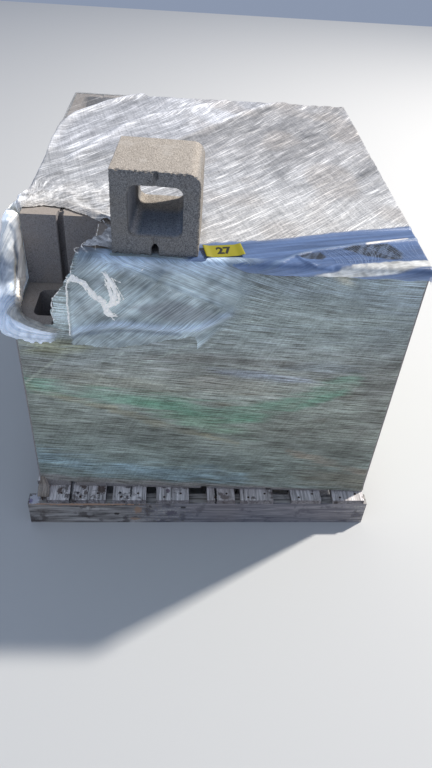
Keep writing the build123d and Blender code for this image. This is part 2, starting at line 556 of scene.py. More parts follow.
def makeWood(name, along, look):
    # along is the axis of the grain: 0 for X, 1 for Y
    material, shader = newMaterial(name)
    place = objectPlace(shader)
    grains = grainPlace(shader, along, look)
    fibres = grainPlace(shader, along, look, woodGrain["fibreFiner"], woodGrain["fibreShorter"])
    noises = {
        "grain": noiseAt(shader, grains, 1.0, detail=4.0, roughness=0.65, distortion=0.6),
        "fibre": noiseAt(shader, fibres, 1.0),
        "stain": noiseAt(shader, place, look["stainScale"], detail=4.0, roughness=0.62),
        "warmth": noiseAt(shader, place, woodGrain["warmth"], detail=2.0, roughness=0.5),
    }
    layers = (
        ("grain", (0.36, 0.0), (0.62, 1.0), "light"),
        ("fibre", (0.33, 0.6), (0.48, 0.0), "crack"),
        ("stain", (0.56, 0.0), (0.64, look["stainAmount"]), "stain"),
        ("warmth", (0.5, 0.0), (0.75, 0.5), "warm"),
    )
    surface = layColours(shader, look, noises, layers)
    # the faces that look up are lighter, and the others darker
    side = ramp(shader, upwardness(shader), (0.5, look["sideTone"]), (0.9, (1.0, 1.0, 1.0)))
    surface = mixColour(shader, 1.0, surface, side, "MULTIPLY")
    ragged = noiseAt(shader, place, woodGrain["ragged"], roughness=0.7)
    for middle, half, colour, strength in look["marks"]:
        surface = mixColour(shader, markShare(shader, ragged, middle, half, strength), surface, colour)
    linkTo(shader, surface, "Base Color")
    setInputs(shader, {"Roughness": 0.85, "Specular IOR Level": 0.25})
    addBump(shader, (noises["grain"], 0.003, 0.5), (noises["fibre"], 0.0015, 0.7))
    return material


def makeNailSteel():
    material, shader = newMaterial("rustedNails")
    spots = noiseAt(shader, objectPlace(shader), 600.0)
    rust = ramp(shader, spots, (0.35, (0.03, 0.02, 0.018)), (0.65, (0.12, 0.06, 0.035)))
    linkTo(shader, rust, "Base Color")
    setInputs(shader, {"Roughness": 0.6, "Metallic": 0.6})
    addBump(shader, (spots, 0.0005, 0.4))
    return material


def makePaper():
    material, shader = newMaterial("yellowPaper")
    fibres = noiseAt(shader, objectPlace(shader), 900.0)
    soil = noiseAt(shader, objectPlace(shader), 30.0)
    # painted shade: the yellow is darkened, as the label lies in shadow
    shadedYellow = ramp(shader, fibres, (0.3, (0.270, 0.242, 0.004)), (0.7, (0.320, 0.288, 0.007)))
    soiled = mixColour(shader, ramp(shader, soil, (0.5, 0.0), (0.8, 0.25)), shadedYellow, (0.28, 0.25, 0.04))
    linkTo(shader, soiled, "Base Color")
    setInputs(shader, {"Roughness": 0.5})
    addBump(shader, (soil, 0.001, 0.3))
    return material


def makeInk():
    material, shader = newMaterial("blackInk")
    wear = noiseAt(shader, objectPlace(shader), 300.0)
    worn = ramp(shader, wear, (0.3, (0.008, 0.008, 0.006)), (0.75, (0.03, 0.028, 0.015)))
    linkTo(shader, worn, "Base Color")
    setInputs(shader, {"Roughness": 0.5})
    return material


# Each film's look. The streaks run from dark at darkAt of their noise to light at lightAt.
# fine and glint draw out the fine streaks and the bright hairs, which are painted highlights; the shares mix
# the noises, glintHair and mottle are strengths, and the film covers from thin to thick. This part most
# looks share
filmCommon = {
    "crossShare": 0.10,
    "glintHair": 0.45,
    "thick": 0.97,
    "glossLow": 0.25,
    "glossHigh": 0.45,
    "bump": 0.3,
}

filmLooks = {
    "front": {
        **filmCommon,
        "dark": (0.205, 0.200, 0.160),
        "light": (0.79, 0.83, 0.77),
        "darkAt": 0.405,
        "lightAt": 0.585,
        "fine": (11.0, 430.0, 1),
        "glint": (7.0, 300.0, 1),
        "broadShare": 0.07,
        "mottle": 0.30,
        "thin": 0.80,
        "glossLow": 0.28,
        "glossHigh": 0.5,
    },
    "flap": {
        **filmCommon,
        "dark": (0.45, 0.495, 0.515),
        "light": (0.90, 0.985, 1.0),
        "darkAt": 0.40,
        "lightAt": 0.60,
        "fine": (9.0, 330.0, 1),
        "glint": (2.6, 210.0, 1),
        "broadShare": 0.30,
        "mottle": 0.08,
        "thin": 0.74,
        "bump": 0.4,
    },
    "strip": {
        **filmCommon,
        "dark": (0.55, 0.57, 0.60),
        "light": (1.0, 1.0, 1.0),
        "darkAt": 0.36,
        "lightAt": 0.64,
        "fine": (8.0, 300.0, 1),
        "glint": (5.0, 260.0, 1),
        "broadShare": 0.35,
        "glintHair": 0.30,
        "mottle": 0.06,
        "thin": 0.88,
        "thick": 1.0,
        "glossLow": 0.28,
        "glossHigh": 0.42,
    },
    "curtain": {
        **filmCommon,
        "dark": (0.60, 0.66, 0.72),
        "light": (1.0, 1.0, 1.0),
        "darkAt": 0.38,
        "lightAt": 0.62,
        "fine": (5.0, 150.0, 1),
        "glint": (2.6, 210.0, 1),
        "broadShare": 0.45,
        "crossShare": 0.15,
        "glintHair": 0.35,
        "mottle": 0.10,
        "thin": 0.80,
        "thick": 0.98,
        "bump": 0.6,
    },
    "top": {
        **filmCommon,
        "dark": (0.375, 0.38, 0.395),
        "light": (0.67, 0.67, 0.68),
        "darkAt": 0.38,
        "lightAt": 0.60,
        "fine": (9.0, 250.0, 1),
        "glint": (11.0, 260.0, 1),
        "broadShare": 0.26,
        "crossShare": 0.30,
        "glintHair": 0.95,
        "mottle": 0.42,
        "thin": 0.84,
        "thick": 0.99,
        "glossLow": 0.22,
        "bump": 0.6,
    },
}


# Walking round the load's outline

def wallPoint(u, out):
    # the point u metres round from the front's left end, standing out from the load
    r = load["edgeRadius"]
    start = Vector((r, 0))
    lengths = (load["width"] - 2 * r, load["depth"] - 2 * r) * 2
    arc = math.pi * r / 2
    u %= sum(lengths) + 4 * arc
    for side, length in enumerate(lengths):
        heading = side * math.pi / 2
        ahead = Vector((math.cos(heading), math.sin(heading)))
        outward = Vector((math.sin(heading), -math.cos(heading)))
        if u <= length:
            return start + ahead * u + outward * out
        u -= length
        centre = start + ahead * length - outward * r
        if u <= arc:
            angle = heading + u / r
            return centre + Vector((math.sin(angle), -math.cos(angle))) * (r + out)
        u -= arc
        angle = heading + math.pi / 2
        start = centre + Vector((math.sin(angle), -math.cos(angle))) * r
    return start + outward * out


def wallLength():
    r = load["edgeRadius"]
    return 2 * (load["width"] + load["depth"]) - 8 * r + 2 * math.pi * r


def addSheet(name, across, up):
    # a flat grid of this many faces, one unit each way from the origin
    deselectAll()
    bpy.ops.mesh.primitive_grid_add(x_subdivisions=across, y_subdivisions=up, size=1, location=(0.5, 0.5, 0))
    obj = bpy.context.object
    obj.name = name
    obj.data.name = name
    bpy.ops.object.transform_apply(location=True)
    return obj


def shapeSheet(obj, place, flow, cross, tint):
    # every point is moved by given rules. All four take a point's two shares of the sheet:
    # place gives x, y, z, flow and cross the streak directions, tint the colour and the cover
    mesh = obj.data
    shares = [(vertex.co.x, vertex.co.y) for vertex in mesh.vertices]
    flowMap = mesh.uv_layers.new(name="flow")
    crossMap = mesh.uv_layers.new(name="cross")
    colours = mesh.color_attributes.new(name="tint", type="FLOAT_COLOR", domain="POINT")
    flows = [flow(a, b) for a, b in shares]
    crosses = [cross(a, b) for a, b in shares]
    for loop in mesh.loops:
        flowMap.data[loop.index].uv = flows[loop.vertex_index]
        crossMap.data[loop.index].uv = crosses[loop.vertex_index]
    for vertex, (a, b) in zip(mesh.vertices, shares):
        colours.data[vertex.index].color = tint(a, b)
        vertex.co = place(a, b)


# The film on the four walls

frontFilm = {
    "stepAcross": 0.008,
    "stepUp": 0.0032,
    "skin": 0.0016,
    "roundCorner": 0.014,
    "overTop": 0.012,
    "broadRelief": 0.0005,
    "fineRelief": 0.00015,
    # streaks: how long, how wide, and their place in the noise
    "broadStreaks": (0.32, 0.018, 3.1),
    "fineStreaks": (0.12, 0.0085, 7.7),
    "swayStreaks": (0.4, 0.12, 8.3),
    "lip": 0.024,
    "lipOut": 0.0045,
    "footLine": ((0.0, 0.036), (0.10, 0.025), (0.34, 0.016), (0.6, 0.014), (0.974, 0.006)),
    "slope": 0.07,
    "clouds": ((4, 13, 4.4, 0.40), (13, 42, 8.8, 0.28), (40, 90, 1.3, 0.18)),
    "fanRise": 0.13,
    "fanFrom": 0.56,
    "fanStart": 0.38,
    "fanWidth": 0.5,
    "sway": 0.010,
    "crossTurn": (0.44, 0.9),
    "tear": (
        (0.099, 0.589), (0.096, 0.606), (0.092, 0.627), (0.101, 0.641), (0.099, 0.659),
        (0.121, 0.687), (0.148, 0.737), (0.158, 0.775), (0.162, 0.80),
    ),
    # height, and the colour of the film there
    "tones": (
        (0.0, (0.56, 0.62, 0.60)), (0.10, (0.60, 0.69, 0.67)), (0.25, (0.66, 0.70, 0.65)),
        (0.34, (0.80, 0.85, 0.79)), (0.46, (0.88, 0.89, 0.86)), (0.58, (0.88, 0.97, 1.02)),
        (0.70, (0.96, 1.10, 1.26)), (0.776, (0.88, 1.02, 1.14)),
    ),
    "lipTone": (0.60, 0.555, 0.55),
}

# colour patches on the front: x, z, half width, half height, slope, colour, strength
frontPatches = (
    (0.45, 0.285, 0.17, 0.034, -0.30, (0.58, 0.92, 0.68), 0.65),
    (0.10, 0.520, 0.10, 0.030, 0.0, (1.05, 1.02, 0.62), 0.60),
    (0.25, 0.410, 0.22, 0.030, -0.1, (0.98, 0.93, 0.78), 0.50),
    (0.52, 0.420, 0.16, 0.040, -0.1, (1.10, 1.02, 0.92), 0.50),
    (0.44, 0.500, 0.16, 0.020, 0.0, (0.72, 0.68, 0.66), 0.55),
    (0.64, 0.490, 0.16, 0.012, -0.05, (0.66, 0.64, 0.64), 0.60),
    (0.62, 0.450, 0.14, 0.014, -0.1, (0.92, 1.0, 1.30), 0.60),
    (0.78, 0.480, 0.12, 0.022, 0.0, (0.84, 0.94, 1.10), 0.50),
    (0.525, 0.345, 0.045, 0.007, -0.1, (0.42, 0.38, 0.28), 0.75),
    (0.590, 0.385, 0.050, 0.009, 0.1, (0.56, 0.50, 0.40), 0.60),
    (0.857, 0.391, 0.040, 0.018, 0.1, (0.46, 0.44, 0.38), 0.70),
    (0.797, 0.299, 0.035, 0.010, 0.2, (0.50, 0.48, 0.42), 0.60),
    (0.747, 0.248, 0.024, 0.010, 0.4, (0.46, 0.44, 0.40), 0.60),
    (0.900, 0.055, 0.150, 0.055, -0.1, (0.46, 0.43, 0.36), 0.80),
    (0.94, 0.340, 0.07, 0.150, 0.2, (0.46, 0.46, 0.44), 0.70),
    (0.30, 0.640, 0.20, 0.030, 0.05, (0.72, 0.74, 0.80), 0.60),
    (0.70, 0.640, 0.30, 0.080, 0.0, (0.88, 0.96, 0.92), 0.50),
    (0.120, 0.640, 0.036, 0.095, 0.1, (1.30, 1.44, 1.56), 0.90),
    # painted sunlight: the next patch carries the strip's sunlit band down the front
    (0.775, 0.743, 0.036, 0.014, -0.35, (1.75, 1.68, 1.50), 0.90),
    # painted shadow: the next patch is the dark line under the strip's hanging edge
    (0.63, 0.750, 0.060, 0.006, 0.0, (0.50, 0.46, 0.42), 0.90),
    (0.40, 0.325, 0.090, 0.022, -0.3, (0.36, 0.80, 0.56), 0.55),
    (0.60, 0.300, 0.090, 0.022, 0.1, (0.36, 0.80, 0.56), 0.50),
    (0.78, 0.372, 0.070, 0.018, 0.5, (0.34, 0.82, 0.58), 0.60),
    (0.95, 0.500, 0.050, 0.030, 0.2, (0.40, 0.40, 0.40), 0.70),
    (0.93, 0.420, 0.060, 0.024, 0.2, (0.38, 0.38, 0.36), 0.70),
    (0.20, 0.500, 0.120, 0.040, 0.3, (1.02, 1.08, 1.12), 0.60),
    (0.36, 0.535, 0.110, 0.024, 0.2, (1.05, 1.12, 1.18), 0.60),
)

# bands of colour along a line of x and z: the line, half width, colour, strength
frontBands = (
    (((-0.02, 0.405), (0.069, 0.392), (0.153, 0.374), (0.266, 0.360), (0.388, 0.340), (0.500, 0.312),
      (0.596, 0.320), (0.729, 0.368), (0.794, 0.397), (0.852, 0.440)), 0.032, (0.44, 0.90, 0.66), 0.58),
    (((0.010, 0.392), (0.040, 0.371), (0.184, 0.332), (0.319, 0.281), (0.425, 0.241), (0.571, 0.201)),
     0.013, (0.84, 0.72, 0.48), 0.45),
    (((0.721, 0.175), (0.881, 0.115), (0.972, 0.085)), 0.014, (0.98, 0.76, 0.62), 0.45),
    (((-0.02, 0.135), (0.040, 0.118), (0.206, 0.081), (0.393, 0.064), (0.585, 0.050)),
     0.040, (0.80, 1.04, 1.20), 0.70),
    (((0.005, 0.401), (0.139, 0.526)), 0.004, (1.45, 1.50, 1.35), 0.70),
    (((0.215, 0.445), (0.335, 0.490), (0.430, 0.545)), 0.004, (1.30, 1.40, 1.35), 0.60),
    (((0.192, 0.470), (0.262, 0.510)), 0.004, (1.30, 1.40, 1.35), 0.60),
    (((0.473, 0.533), (0.446, 0.582)), 0.003, (1.30, 1.40, 1.45), 0.60),
    (((0.473, 0.533), (0.510, 0.588)), 0.003, (1.30, 1.40, 1.45), 0.60),
)


def bandColour(x, z, bands, colour):
    for line, half, tone, strength in bands:
        # only the wide bands have ragged borders
        wobble = 0.9 * streaks(x, z, 0.14, 0.007, half * 900) if half > 0.01 else 0.0
        near = nearestOn(line, x, z)[1] / half + wobble
        patchy = 0.85 + 0.9 * noise.noise(Vector((x * 11, z * 30, half * 90)))
        share = min(1.0, max(0.0, strength * patchy))
        colour = mixTone(colour, tone, share * smooth(1.15, 0.35, near))
    return colour


def toneAt(tones, value):
    # the colour at a height, channel by channel
    lines = [[(height, tone[channel]) for height, tone in tones] for channel in range(3)]
    return Vector([alongLine(line, value) for line in lines])


def patchColour(x, z, patches, colour):
    for middleX, middleZ, halfX, halfZ, slope, tone, strength in patches:
        across = (x - middleX) / halfX
        up = (z - middleZ - slope * (x - middleX)) / halfZ
        wobble = 0.5 * streaks(x, z, 0.12, 0.012, middleX * 9)
        wobble += 0.4 * streaks(x, z, 0.05, 0.005, middleX * 5)
        share = strength * smooth(1.25, 0.25, math.hypot(across, up) + wobble)
        colour = mixTone(colour, tone, share)
    return colour


def frontFlow(x, z):
    fan = frontFilm["fanRise"] * smooth(frontFilm["fanFrom"], load["height"], z)
    fan *= smooth(frontFilm["fanStart"], frontFilm["fanStart"] + frontFilm["fanWidth"], x)
    sway = frontFilm["sway"] * streaks(x, z, *frontFilm["swayStreaks"])
    return x, z + frontFilm["slope"] * x + fan + sway


def wallRelief(s, t):
    broad = streaks(s, t, *frontFilm["broadStreaks"])
    fine = streaks(s, t, *frontFilm["fineStreaks"])
    return frontFilm["broadRelief"] * (1 - abs(broad) * 2) + frontFilm["fineRelief"] * fine


def lipOut(u, v):
    # how far the film's foot stands out where it is drawn together
    above = v - alongLine(frontFilm["footLine"], u)
    ripple = 1 + 0.5 * streaks(u, v, 0.05, 0.2, 2.4)
    fade = smooth(-0.005, 0.02, u) * (1 - 0.6 * smooth(0.3, 1.0, u))
    return frontFilm["lipOut"] * ripple * fade * smooth(frontFilm["lip"], 0.0, above)


def overRim(u, v, out):
    # the point u metres round the load and v up its wall, then round its top edge and inward
    r = load["edgeRadius"]
    lastFlat = load["height"] - r
    if v <= lastFlat:
        flat = wallPoint(u, out)
        return flat.x, flat.y, v
    angle = min(math.pi / 2, (v - lastFlat) / r)
    inward = max(0.0, v - lastFlat - math.pi * r / 2)
    flat = wallPoint(u, (r + out) * math.cos(angle) - r - inward)
    return flat.x, flat.y, lastFlat + (r + out) * math.sin(angle)


def addFrontFilm(material):
    r = load["edgeRadius"]
    extra = frontFilm["roundCorner"]
    span = load["width"] - 2 * r + 2 * extra
    rise = load["height"] + math.pi * r / 2 - r + frontFilm["overTop"]
    obj = addSheet("frontFilm", round(span / frontFilm["stepAcross"]), round(rise / frontFilm["stepUp"]))

    def where(a, b):
        u = a * span - extra
        foot = alongLine(frontFilm["footLine"], u)
        return u, foot + b * (rise - foot)

    def flow(a, b):
        u, v = where(a, b)
        return frontFlow(u + r, v)

    def place(a, b):
        u, v = where(a, b)
        return overRim(u, v, frontFilm["skin"] + wallRelief(*flow(a, b)) + lipOut(u, v))

    def cross(a, b):
        return turned(*where(a, b), frontFilm["crossTurn"])

    def tint(a, b):
        u, v = where(a, b)
        colour = patchColour(u + r, v, frontPatches, toneAt(frontFilm["tones"], v))
        colour = bandColour(u + r, v, frontBands, colour) * cloudAt(frontFilm["clouds"], u, v + 0.08 * u)
        # the film's foot is drawn together in a grey brown lip
        above = v - alongLine(frontFilm["footLine"], u) + 0.005 * streaks(u, v, 0.06, 0.5, 3.9)
        lip = frontFilm["lip"] * smooth(1.1, 0.0, u)
        return *mixTone(colour, frontFilm["lipTone"], smooth(lip, 0.5 * lip, above)), 1.0

    tear = frontFilm["tear"]
    tornTo = [(z, x) for x, z in tear]
    tearFoot = tear[0][1]

    def isTorn(x, y, z):
        return z > tearFoot and x < alongLine(tornTo, z)

    shapeSheet(obj, place, flow, cross, tint)
    deleteFaces(obj, isTorn)
    tearAlong(obj, (0, 2), ((-0.02, tearFoot),) + tear[:-1], near=0.012, ragged=0.0035, seed=5.7)
    finishFilm(obj, material, "side_wrap")


sideFilm = {
    "stepAcross": 0.014,
    "stepUp": 0.005,
    "foot": 0.004,
    "slope": 0.05,
    "underFront": 0.004,
    "tone": (0.95, 1.0, 1.0),
    # the opening at the empty corner, past the load's pitch and above its ledge
    "tornPast": 0.03,
    "tornAbove": 0.008,
}


def addSideFilm(material):
    r = load["edgeRadius"]
    extra = frontFilm["roundCorner"] - sideFilm["underFront"]
    begin = load["width"] - 2 * r + extra
    span = wallLength() - begin - extra
    rise = load["height"] - r + math.pi * r / 2
    obj = addSheet("sideFilm", round(span / sideFilm["stepAcross"]), round(rise / sideFilm["stepUp"]))

    def where(a, b):
        return begin + a * span, sideFilm["foot"] + b * (rise - sideFilm["foot"])

    def flow(a, b):
        u, v = where(a, b)
        return u, v + sideFilm["slope"] * u

    def place(a, b):
        return overRim(*where(a, b), frontFilm["skin"] + wallRelief(*flow(a, b)))

    def cross(a, b):
        return turned(*where(a, b), frontFilm["crossTurn"])

    def tint(a, b):
        return *(Vector(sideFilm["tone"]) * cloudAt(frontFilm["clouds"], *flow(a, b))), 1.0

    def isTorn(x, y, z):
        atCorner = x < 0.01 and y < load["pitch"] + sideFilm["tornPast"]
        return atCorner and z > load["ledge"] + sideFilm["tornAbove"]

    shapeSheet(obj, place, flow, cross, tint)
    deleteFaces(obj, isTorn)
    finishFilm(obj, material, "side_wrap")


# The film over the top

topFilm = {
    "step": 0.0055,
    "hem": 0.02,
    "skin": 0.0022,
    # the deepest dent, as a share of the skin
    "deepest": 0.7,
    # the torn edge: round the empty corner as far as tearEnd, then under the sample and the flap
    "tear": (
        (-0.03, 0.217), (-0.012, 0.222), (0.010, 0.225), (0.054, 0.240), (0.105, 0.230), (0.160, 0.196),
        (0.200, 0.163), (0.223, 0.122), (0.205, 0.085), (0.182, 0.050), (0.168, 0.028), (0.30, 0.024),
        (0.45, 0.026), (0.575, 0.020), (0.580, -0.03),
    ),
    "tearEnd": 7,
    "raggedTo": 11,
    "slit": ((0.203, 0.178), (0.222, 0.164), (0.236, 0.136), (0.231, 0.130), (0.214, 0.150)),
    "flowTurn": (1.08, 0.221, 0.77),
    "broadRelief": 0.0022,
    "fineRelief": 0.0011,
    "broadStreaks": (0.34, 0.022, 1.7),
    "fineStreaks": (0.12, 0.010, 5.2),
    "swayStreaks": (0.30, 0.22, 2.6),
    "gatherStreaks": (0.10, 0.011, 4.9),
    "creaseStreaks": (0.07, 0.0075, 4.9),
    "fineCreaseStreaks": (0.03, 0.0035, 9.2),
    "sway": 0.018,
    "fan": 0.22,
    "clouds": ((3.2, 17, 7.3, 0.40), (9, 44, 1.9, 0.30), (30, 60, 5.6, 0.20)),
    "neck": (0.0, 0.222),
    "looseRelief": 0.0095,
    "rimLift": 0.006,
    "rimWidth": 0.017,
    "earOut": 0.018,
    "earMiddle": 0.268,
    "earHalf": 0.040,
    "pressed": 0.0011,
    "crossTurn": (0.97, -0.24),
    "sample": (0.236, 0.452, 0.0, 0.222),
    # each fold: its line, its height and its half width
    "folds": (
        (((-0.012, 0.60), (0.000, 0.70), (0.003, 0.806), (0.032, 0.927), (0.0725, 0.989), (0.127, 1.071),
          (0.192, 1.129), (0.24, 1.17)), 0.010, 0.013),
        (((0.077, 0.563), (0.213, 0.865), (0.274, 0.941), (0.362, 1.011), (0.533, 1.153)), 0.006, 0.016),
        (((0.25, 0.62), (0.413, 0.796), (0.501, 0.911), (0.598, 1.037), (0.681, 1.134), (0.754, 1.177)),
         0.006, 0.012),
    ),
    "tones": {
        "plain": (1.02, 1.02, 1.02),
        "dense": (1.18, 1.19, 1.23),
        "grey": (0.80, 0.785, 0.775),
        "litCrest": (1.65, 1.66, 1.70),
        "front": (1.20, 1.19, 1.16),
        "brown": (0.86, 0.78, 0.70),
        "hollow": (0.92, 0.89, 0.85),
        "creaseLight": (2.15, 2.11, 2.03),
        "rim": (1.50, 1.38, 1.22),
        "underStripShade": (0.09, 0.11, 0.16),
    },
    "beyondCover": 0.38,
}


def insideOutline(outline, x, y):
    inside = False
    for (x0, y0), (x1, y1) in zip(outline, outline[1:] + outline[:1]):
        if (y0 > y) != (y1 > y) and x < x0 + (x1 - x0) * (y - y0) / (y1 - y0):
            inside = not inside
    return inside


def topFlow(x, y):
    # the streaks swing a little as they run back, and gather at the neck by the tear
    first, second, scale = topFilm["flowTurn"]
    away = Vector((x, y)) - Vector(topFilm["neck"])
    loose = looseness(x, y)
    sway = topFilm["sway"] * streaks(x, y, *topFilm["swayStreaks"])
    s = (x + y) * 0.71
    t = scale * (first * y - second * y * y - x) + sway
    fan = topFilm["fan"] * math.atan2(away.y, away.x)
    return s * (1 - loose) + away.length * loose, t * (1 - loose) + fan * loose


def looseness(x, y):
    # how loose the film lies behind the tear, from 0 to 1
    return smooth(0.44, 0.28, y) * smooth(0.30, 0.20, x)


def tearGap(x, y):
    # how far away the torn edge at the empty corner is
    return nearestOn(topFilm["tear"][:topFilm["tearEnd"]], x, y)[1]


def pastStrip(x, y):
    # how far behind the strip's border this is, and below 0 how far under it
    return y - alongLine(topStrip["border"], x)


def underSample(x, y):
    # how much of the sample's weight presses here, from 0 to 1
    left, right, front, back = topFilm["sample"]
    return smooth(0.0, 0.008, min(x - left, right - x, y - front, back - y))


def topLift(x, y):
    s, t = topFlow(x, y)
    broad = streaks(s, t, *topFilm["broadStreaks"])
    fine = streaks(s, t, *topFilm["fineStreaks"])
    lift = topFilm["broadRelief"] * (1 - 2 * abs(broad)) + topFilm["fineRelief"] * fine
    lift += foldLift(x, y, topFilm["folds"])
    loose = looseness(x, y)
    if loose > 0:
        gather = streaks(s, t, *topFilm["gatherStreaks"])
        bulge = noise.noise(Vector((x * 26, y * 26, 0.4)))
        lift += loose * topFilm["looseRelief"] * (0.55 + 0.6 * gather + 0.8 * bulge)
        gap = tearGap(x, y)
        away = gap / topFilm["rimWidth"]
        lift += topFilm["rimLift"] * away * math.exp(1 - away * away)
        lift *= smooth(-0.004, 0.020, gap)
    # flat under the strip
    if x > topStrip["left"]:
        lift *= smooth(-0.006, 0.010, pastStrip(x, y))
    press = underSample(x, y)
    lift = max(lift, -topFilm["skin"] * topFilm["deepest"])
    return (topFilm["skin"] + lift) * (1 - press) + topFilm["pressed"] * press


def creaseLightAndShade(x, y):
    # the loose film behind the tear, gathered in fine creases: painted light on the creases and painted
    # shade in the hollows
    s, t = topFlow(x, y)
    gather = streaks(s, t, *topFilm["creaseStreaks"])
    gather += 0.8 * streaks(s, t, *topFilm["fineCreaseStreaks"])
    gather += 0.9 * noise.noise(Vector((x * 60, y * 60, 8.1)))
    tones = topFilm["tones"]
    return mixTone(Vector(tones["hollow"]), tones["creaseLight"], smooth(-0.7, 0.7, gather))


def topColour(x, y):
    # dense and bluish between the ridges, grey and brownish behind, whiter at the front,
    # and thin beyond the first ridge
    tones = topFilm["tones"]
    ridges = [line for line, _, _ in topFilm["folds"]]
    beyond = smooth(0.004, 0.016, y - alongLine(ridges[0], x))
    pastLast = y - alongLine(ridges[-1], x)
    grey = smooth(0.01, -0.02, pastLast) * smooth(0.22, 0.36, x) * smooth(0.42, 0.72, y)
    dense = smooth(-0.01, 0.02, pastLast) * (1 - beyond)
    colour = mixTone(Vector(tones["plain"]), tones["dense"], 0.8 * dense)
    colour = mixTone(colour, tones["grey"], 0.9 * grey)
    # painted highlight along the crests of the ridges
    litCrest = max(bell(nearestOn(ridge, x, y)[1], 0.009) for ridge in ridges)
    colour = mixTone(colour, tones["litCrest"], 0.85 * litCrest) * cloudAt(topFilm["clouds"], *topFlow(x, y))
    colour = mixTone(colour, tones["front"], smooth(0.50, 0.20, y) * smooth(0.40, 0.55, x))
    brown = smooth(0.0, 0.4, noise.noise(Vector((x * 7, y * 7, 3.3)))) * smooth(0.36, 0.5, x)
    colour = mixTone(colour, tones["brown"], 0.45 * brown)
    loose = looseness(x, y)
    gap = tearGap(x, y)
    if loose > 0:
        colour = mixTone(colour, creaseLightAndShade(x, y), 0.85 * loose * smooth(0.0, 0.03, gap))
    # painted light: the side of the gathered neck lies in the shade and is painted brighter, as if it glowed
    colour *= 1 + 1.7 * smooth(0.005, -0.006, x) * smooth(0.34, 0.30, y)
    colour = mixTone(colour, tones["rim"], 0.8 * bell(gap, 0.016) * loose)
    # painted shade: under the strip the film is dark, as the shaded concrete under the slits
    covered = smooth(0.006, -0.010, pastStrip(x, y)) * smooth(0.44, 0.47, x)
    colour = mixTone(colour, tones["underStripShade"], covered)
    return *colour, 1.0 - (1 - topFilm["beyondCover"]) * beyond


def rolled(flat, limit):
    # a coordinate past the load's edge goes round it: where it ends, and how far down
    r = load["edgeRadius"]
    over = max(-flat, flat - limit, 0.0)
    if over <= 0:
        return flat, 0.0
    edge, sign = (0.0, -1) if flat < 0 else (limit, 1)
    angle = min(math.pi / 2, over / r)
    down = max(0.0, over - math.pi * r / 2)
    return edge + sign * r * math.sin(angle) * 0.6, r * (1 - math.cos(angle)) + down


def addTopFilm(material):
    hem = topFilm["hem"]
    wide = load["width"] + 2 * hem
    deep = load["depth"] + 2 * hem
    obj = addSheet("topFilm", round(wide / topFilm["step"]), round(deep / topFilm["step"]))

    def where(a, b):
        return a * wide - hem, b * deep - hem

    def place(a, b):
        x, y = where(a, b)
        newX, downX = rolled(x, load["width"])
        newY, downY = rolled(y, load["depth"])
        # the film gathered at the neck stands out past the left edge
        ear = topFilm["earOut"] * math.exp(-(((y - topFilm["earMiddle"]) / topFilm["earHalf"]) ** 4))
        newX -= ear * smooth(0.004, -0.012, x)
        up = topLift(x, y) * smooth(-hem, -0.004, x)
        return newX, newY, load["height"] + up - max(downX, downY) * (1 - 0.5 * smooth(0.0, 0.01, ear))

    def flow(a, b):
        return topFlow(*where(a, b))

    def cross(a, b):
        x, y = where(a, b)
        return turned(y, x, topFilm["crossTurn"])

    def tint(a, b):
        return topColour(*where(a, b))

    tear = topFilm["tear"]
    slit = topFilm["slit"]
    # past the sheet on both sides
    far = -0.1
    corner = ((far, far), (far, tear[0][1])) + tear + ((tear[-1][0], far),)

    def isTorn(x, y, z):
        return insideOutline(corner, x, y) or insideOutline(slit, x, y)

    shapeSheet(obj, place, flow, cross, tint)
    deleteFaces(obj, isTorn)
    tearAlong(obj, (0, 1), tear[1:topFilm["raggedTo"]], near=0.010, ragged=0.0025, seed=8.1)
    tearAlong(obj, (0, 1), slit + slit[:1], near=0.005, ragged=0.001, seed=2.1)
    finishFilm(obj, material, "top_wrap")


# The strip over the top's front edge, in a painted shadow: bluish dark, but for one band painted sunlit. Its
# two slits are painted on it as dark film, painted shade in the holes, and separate threads run over them

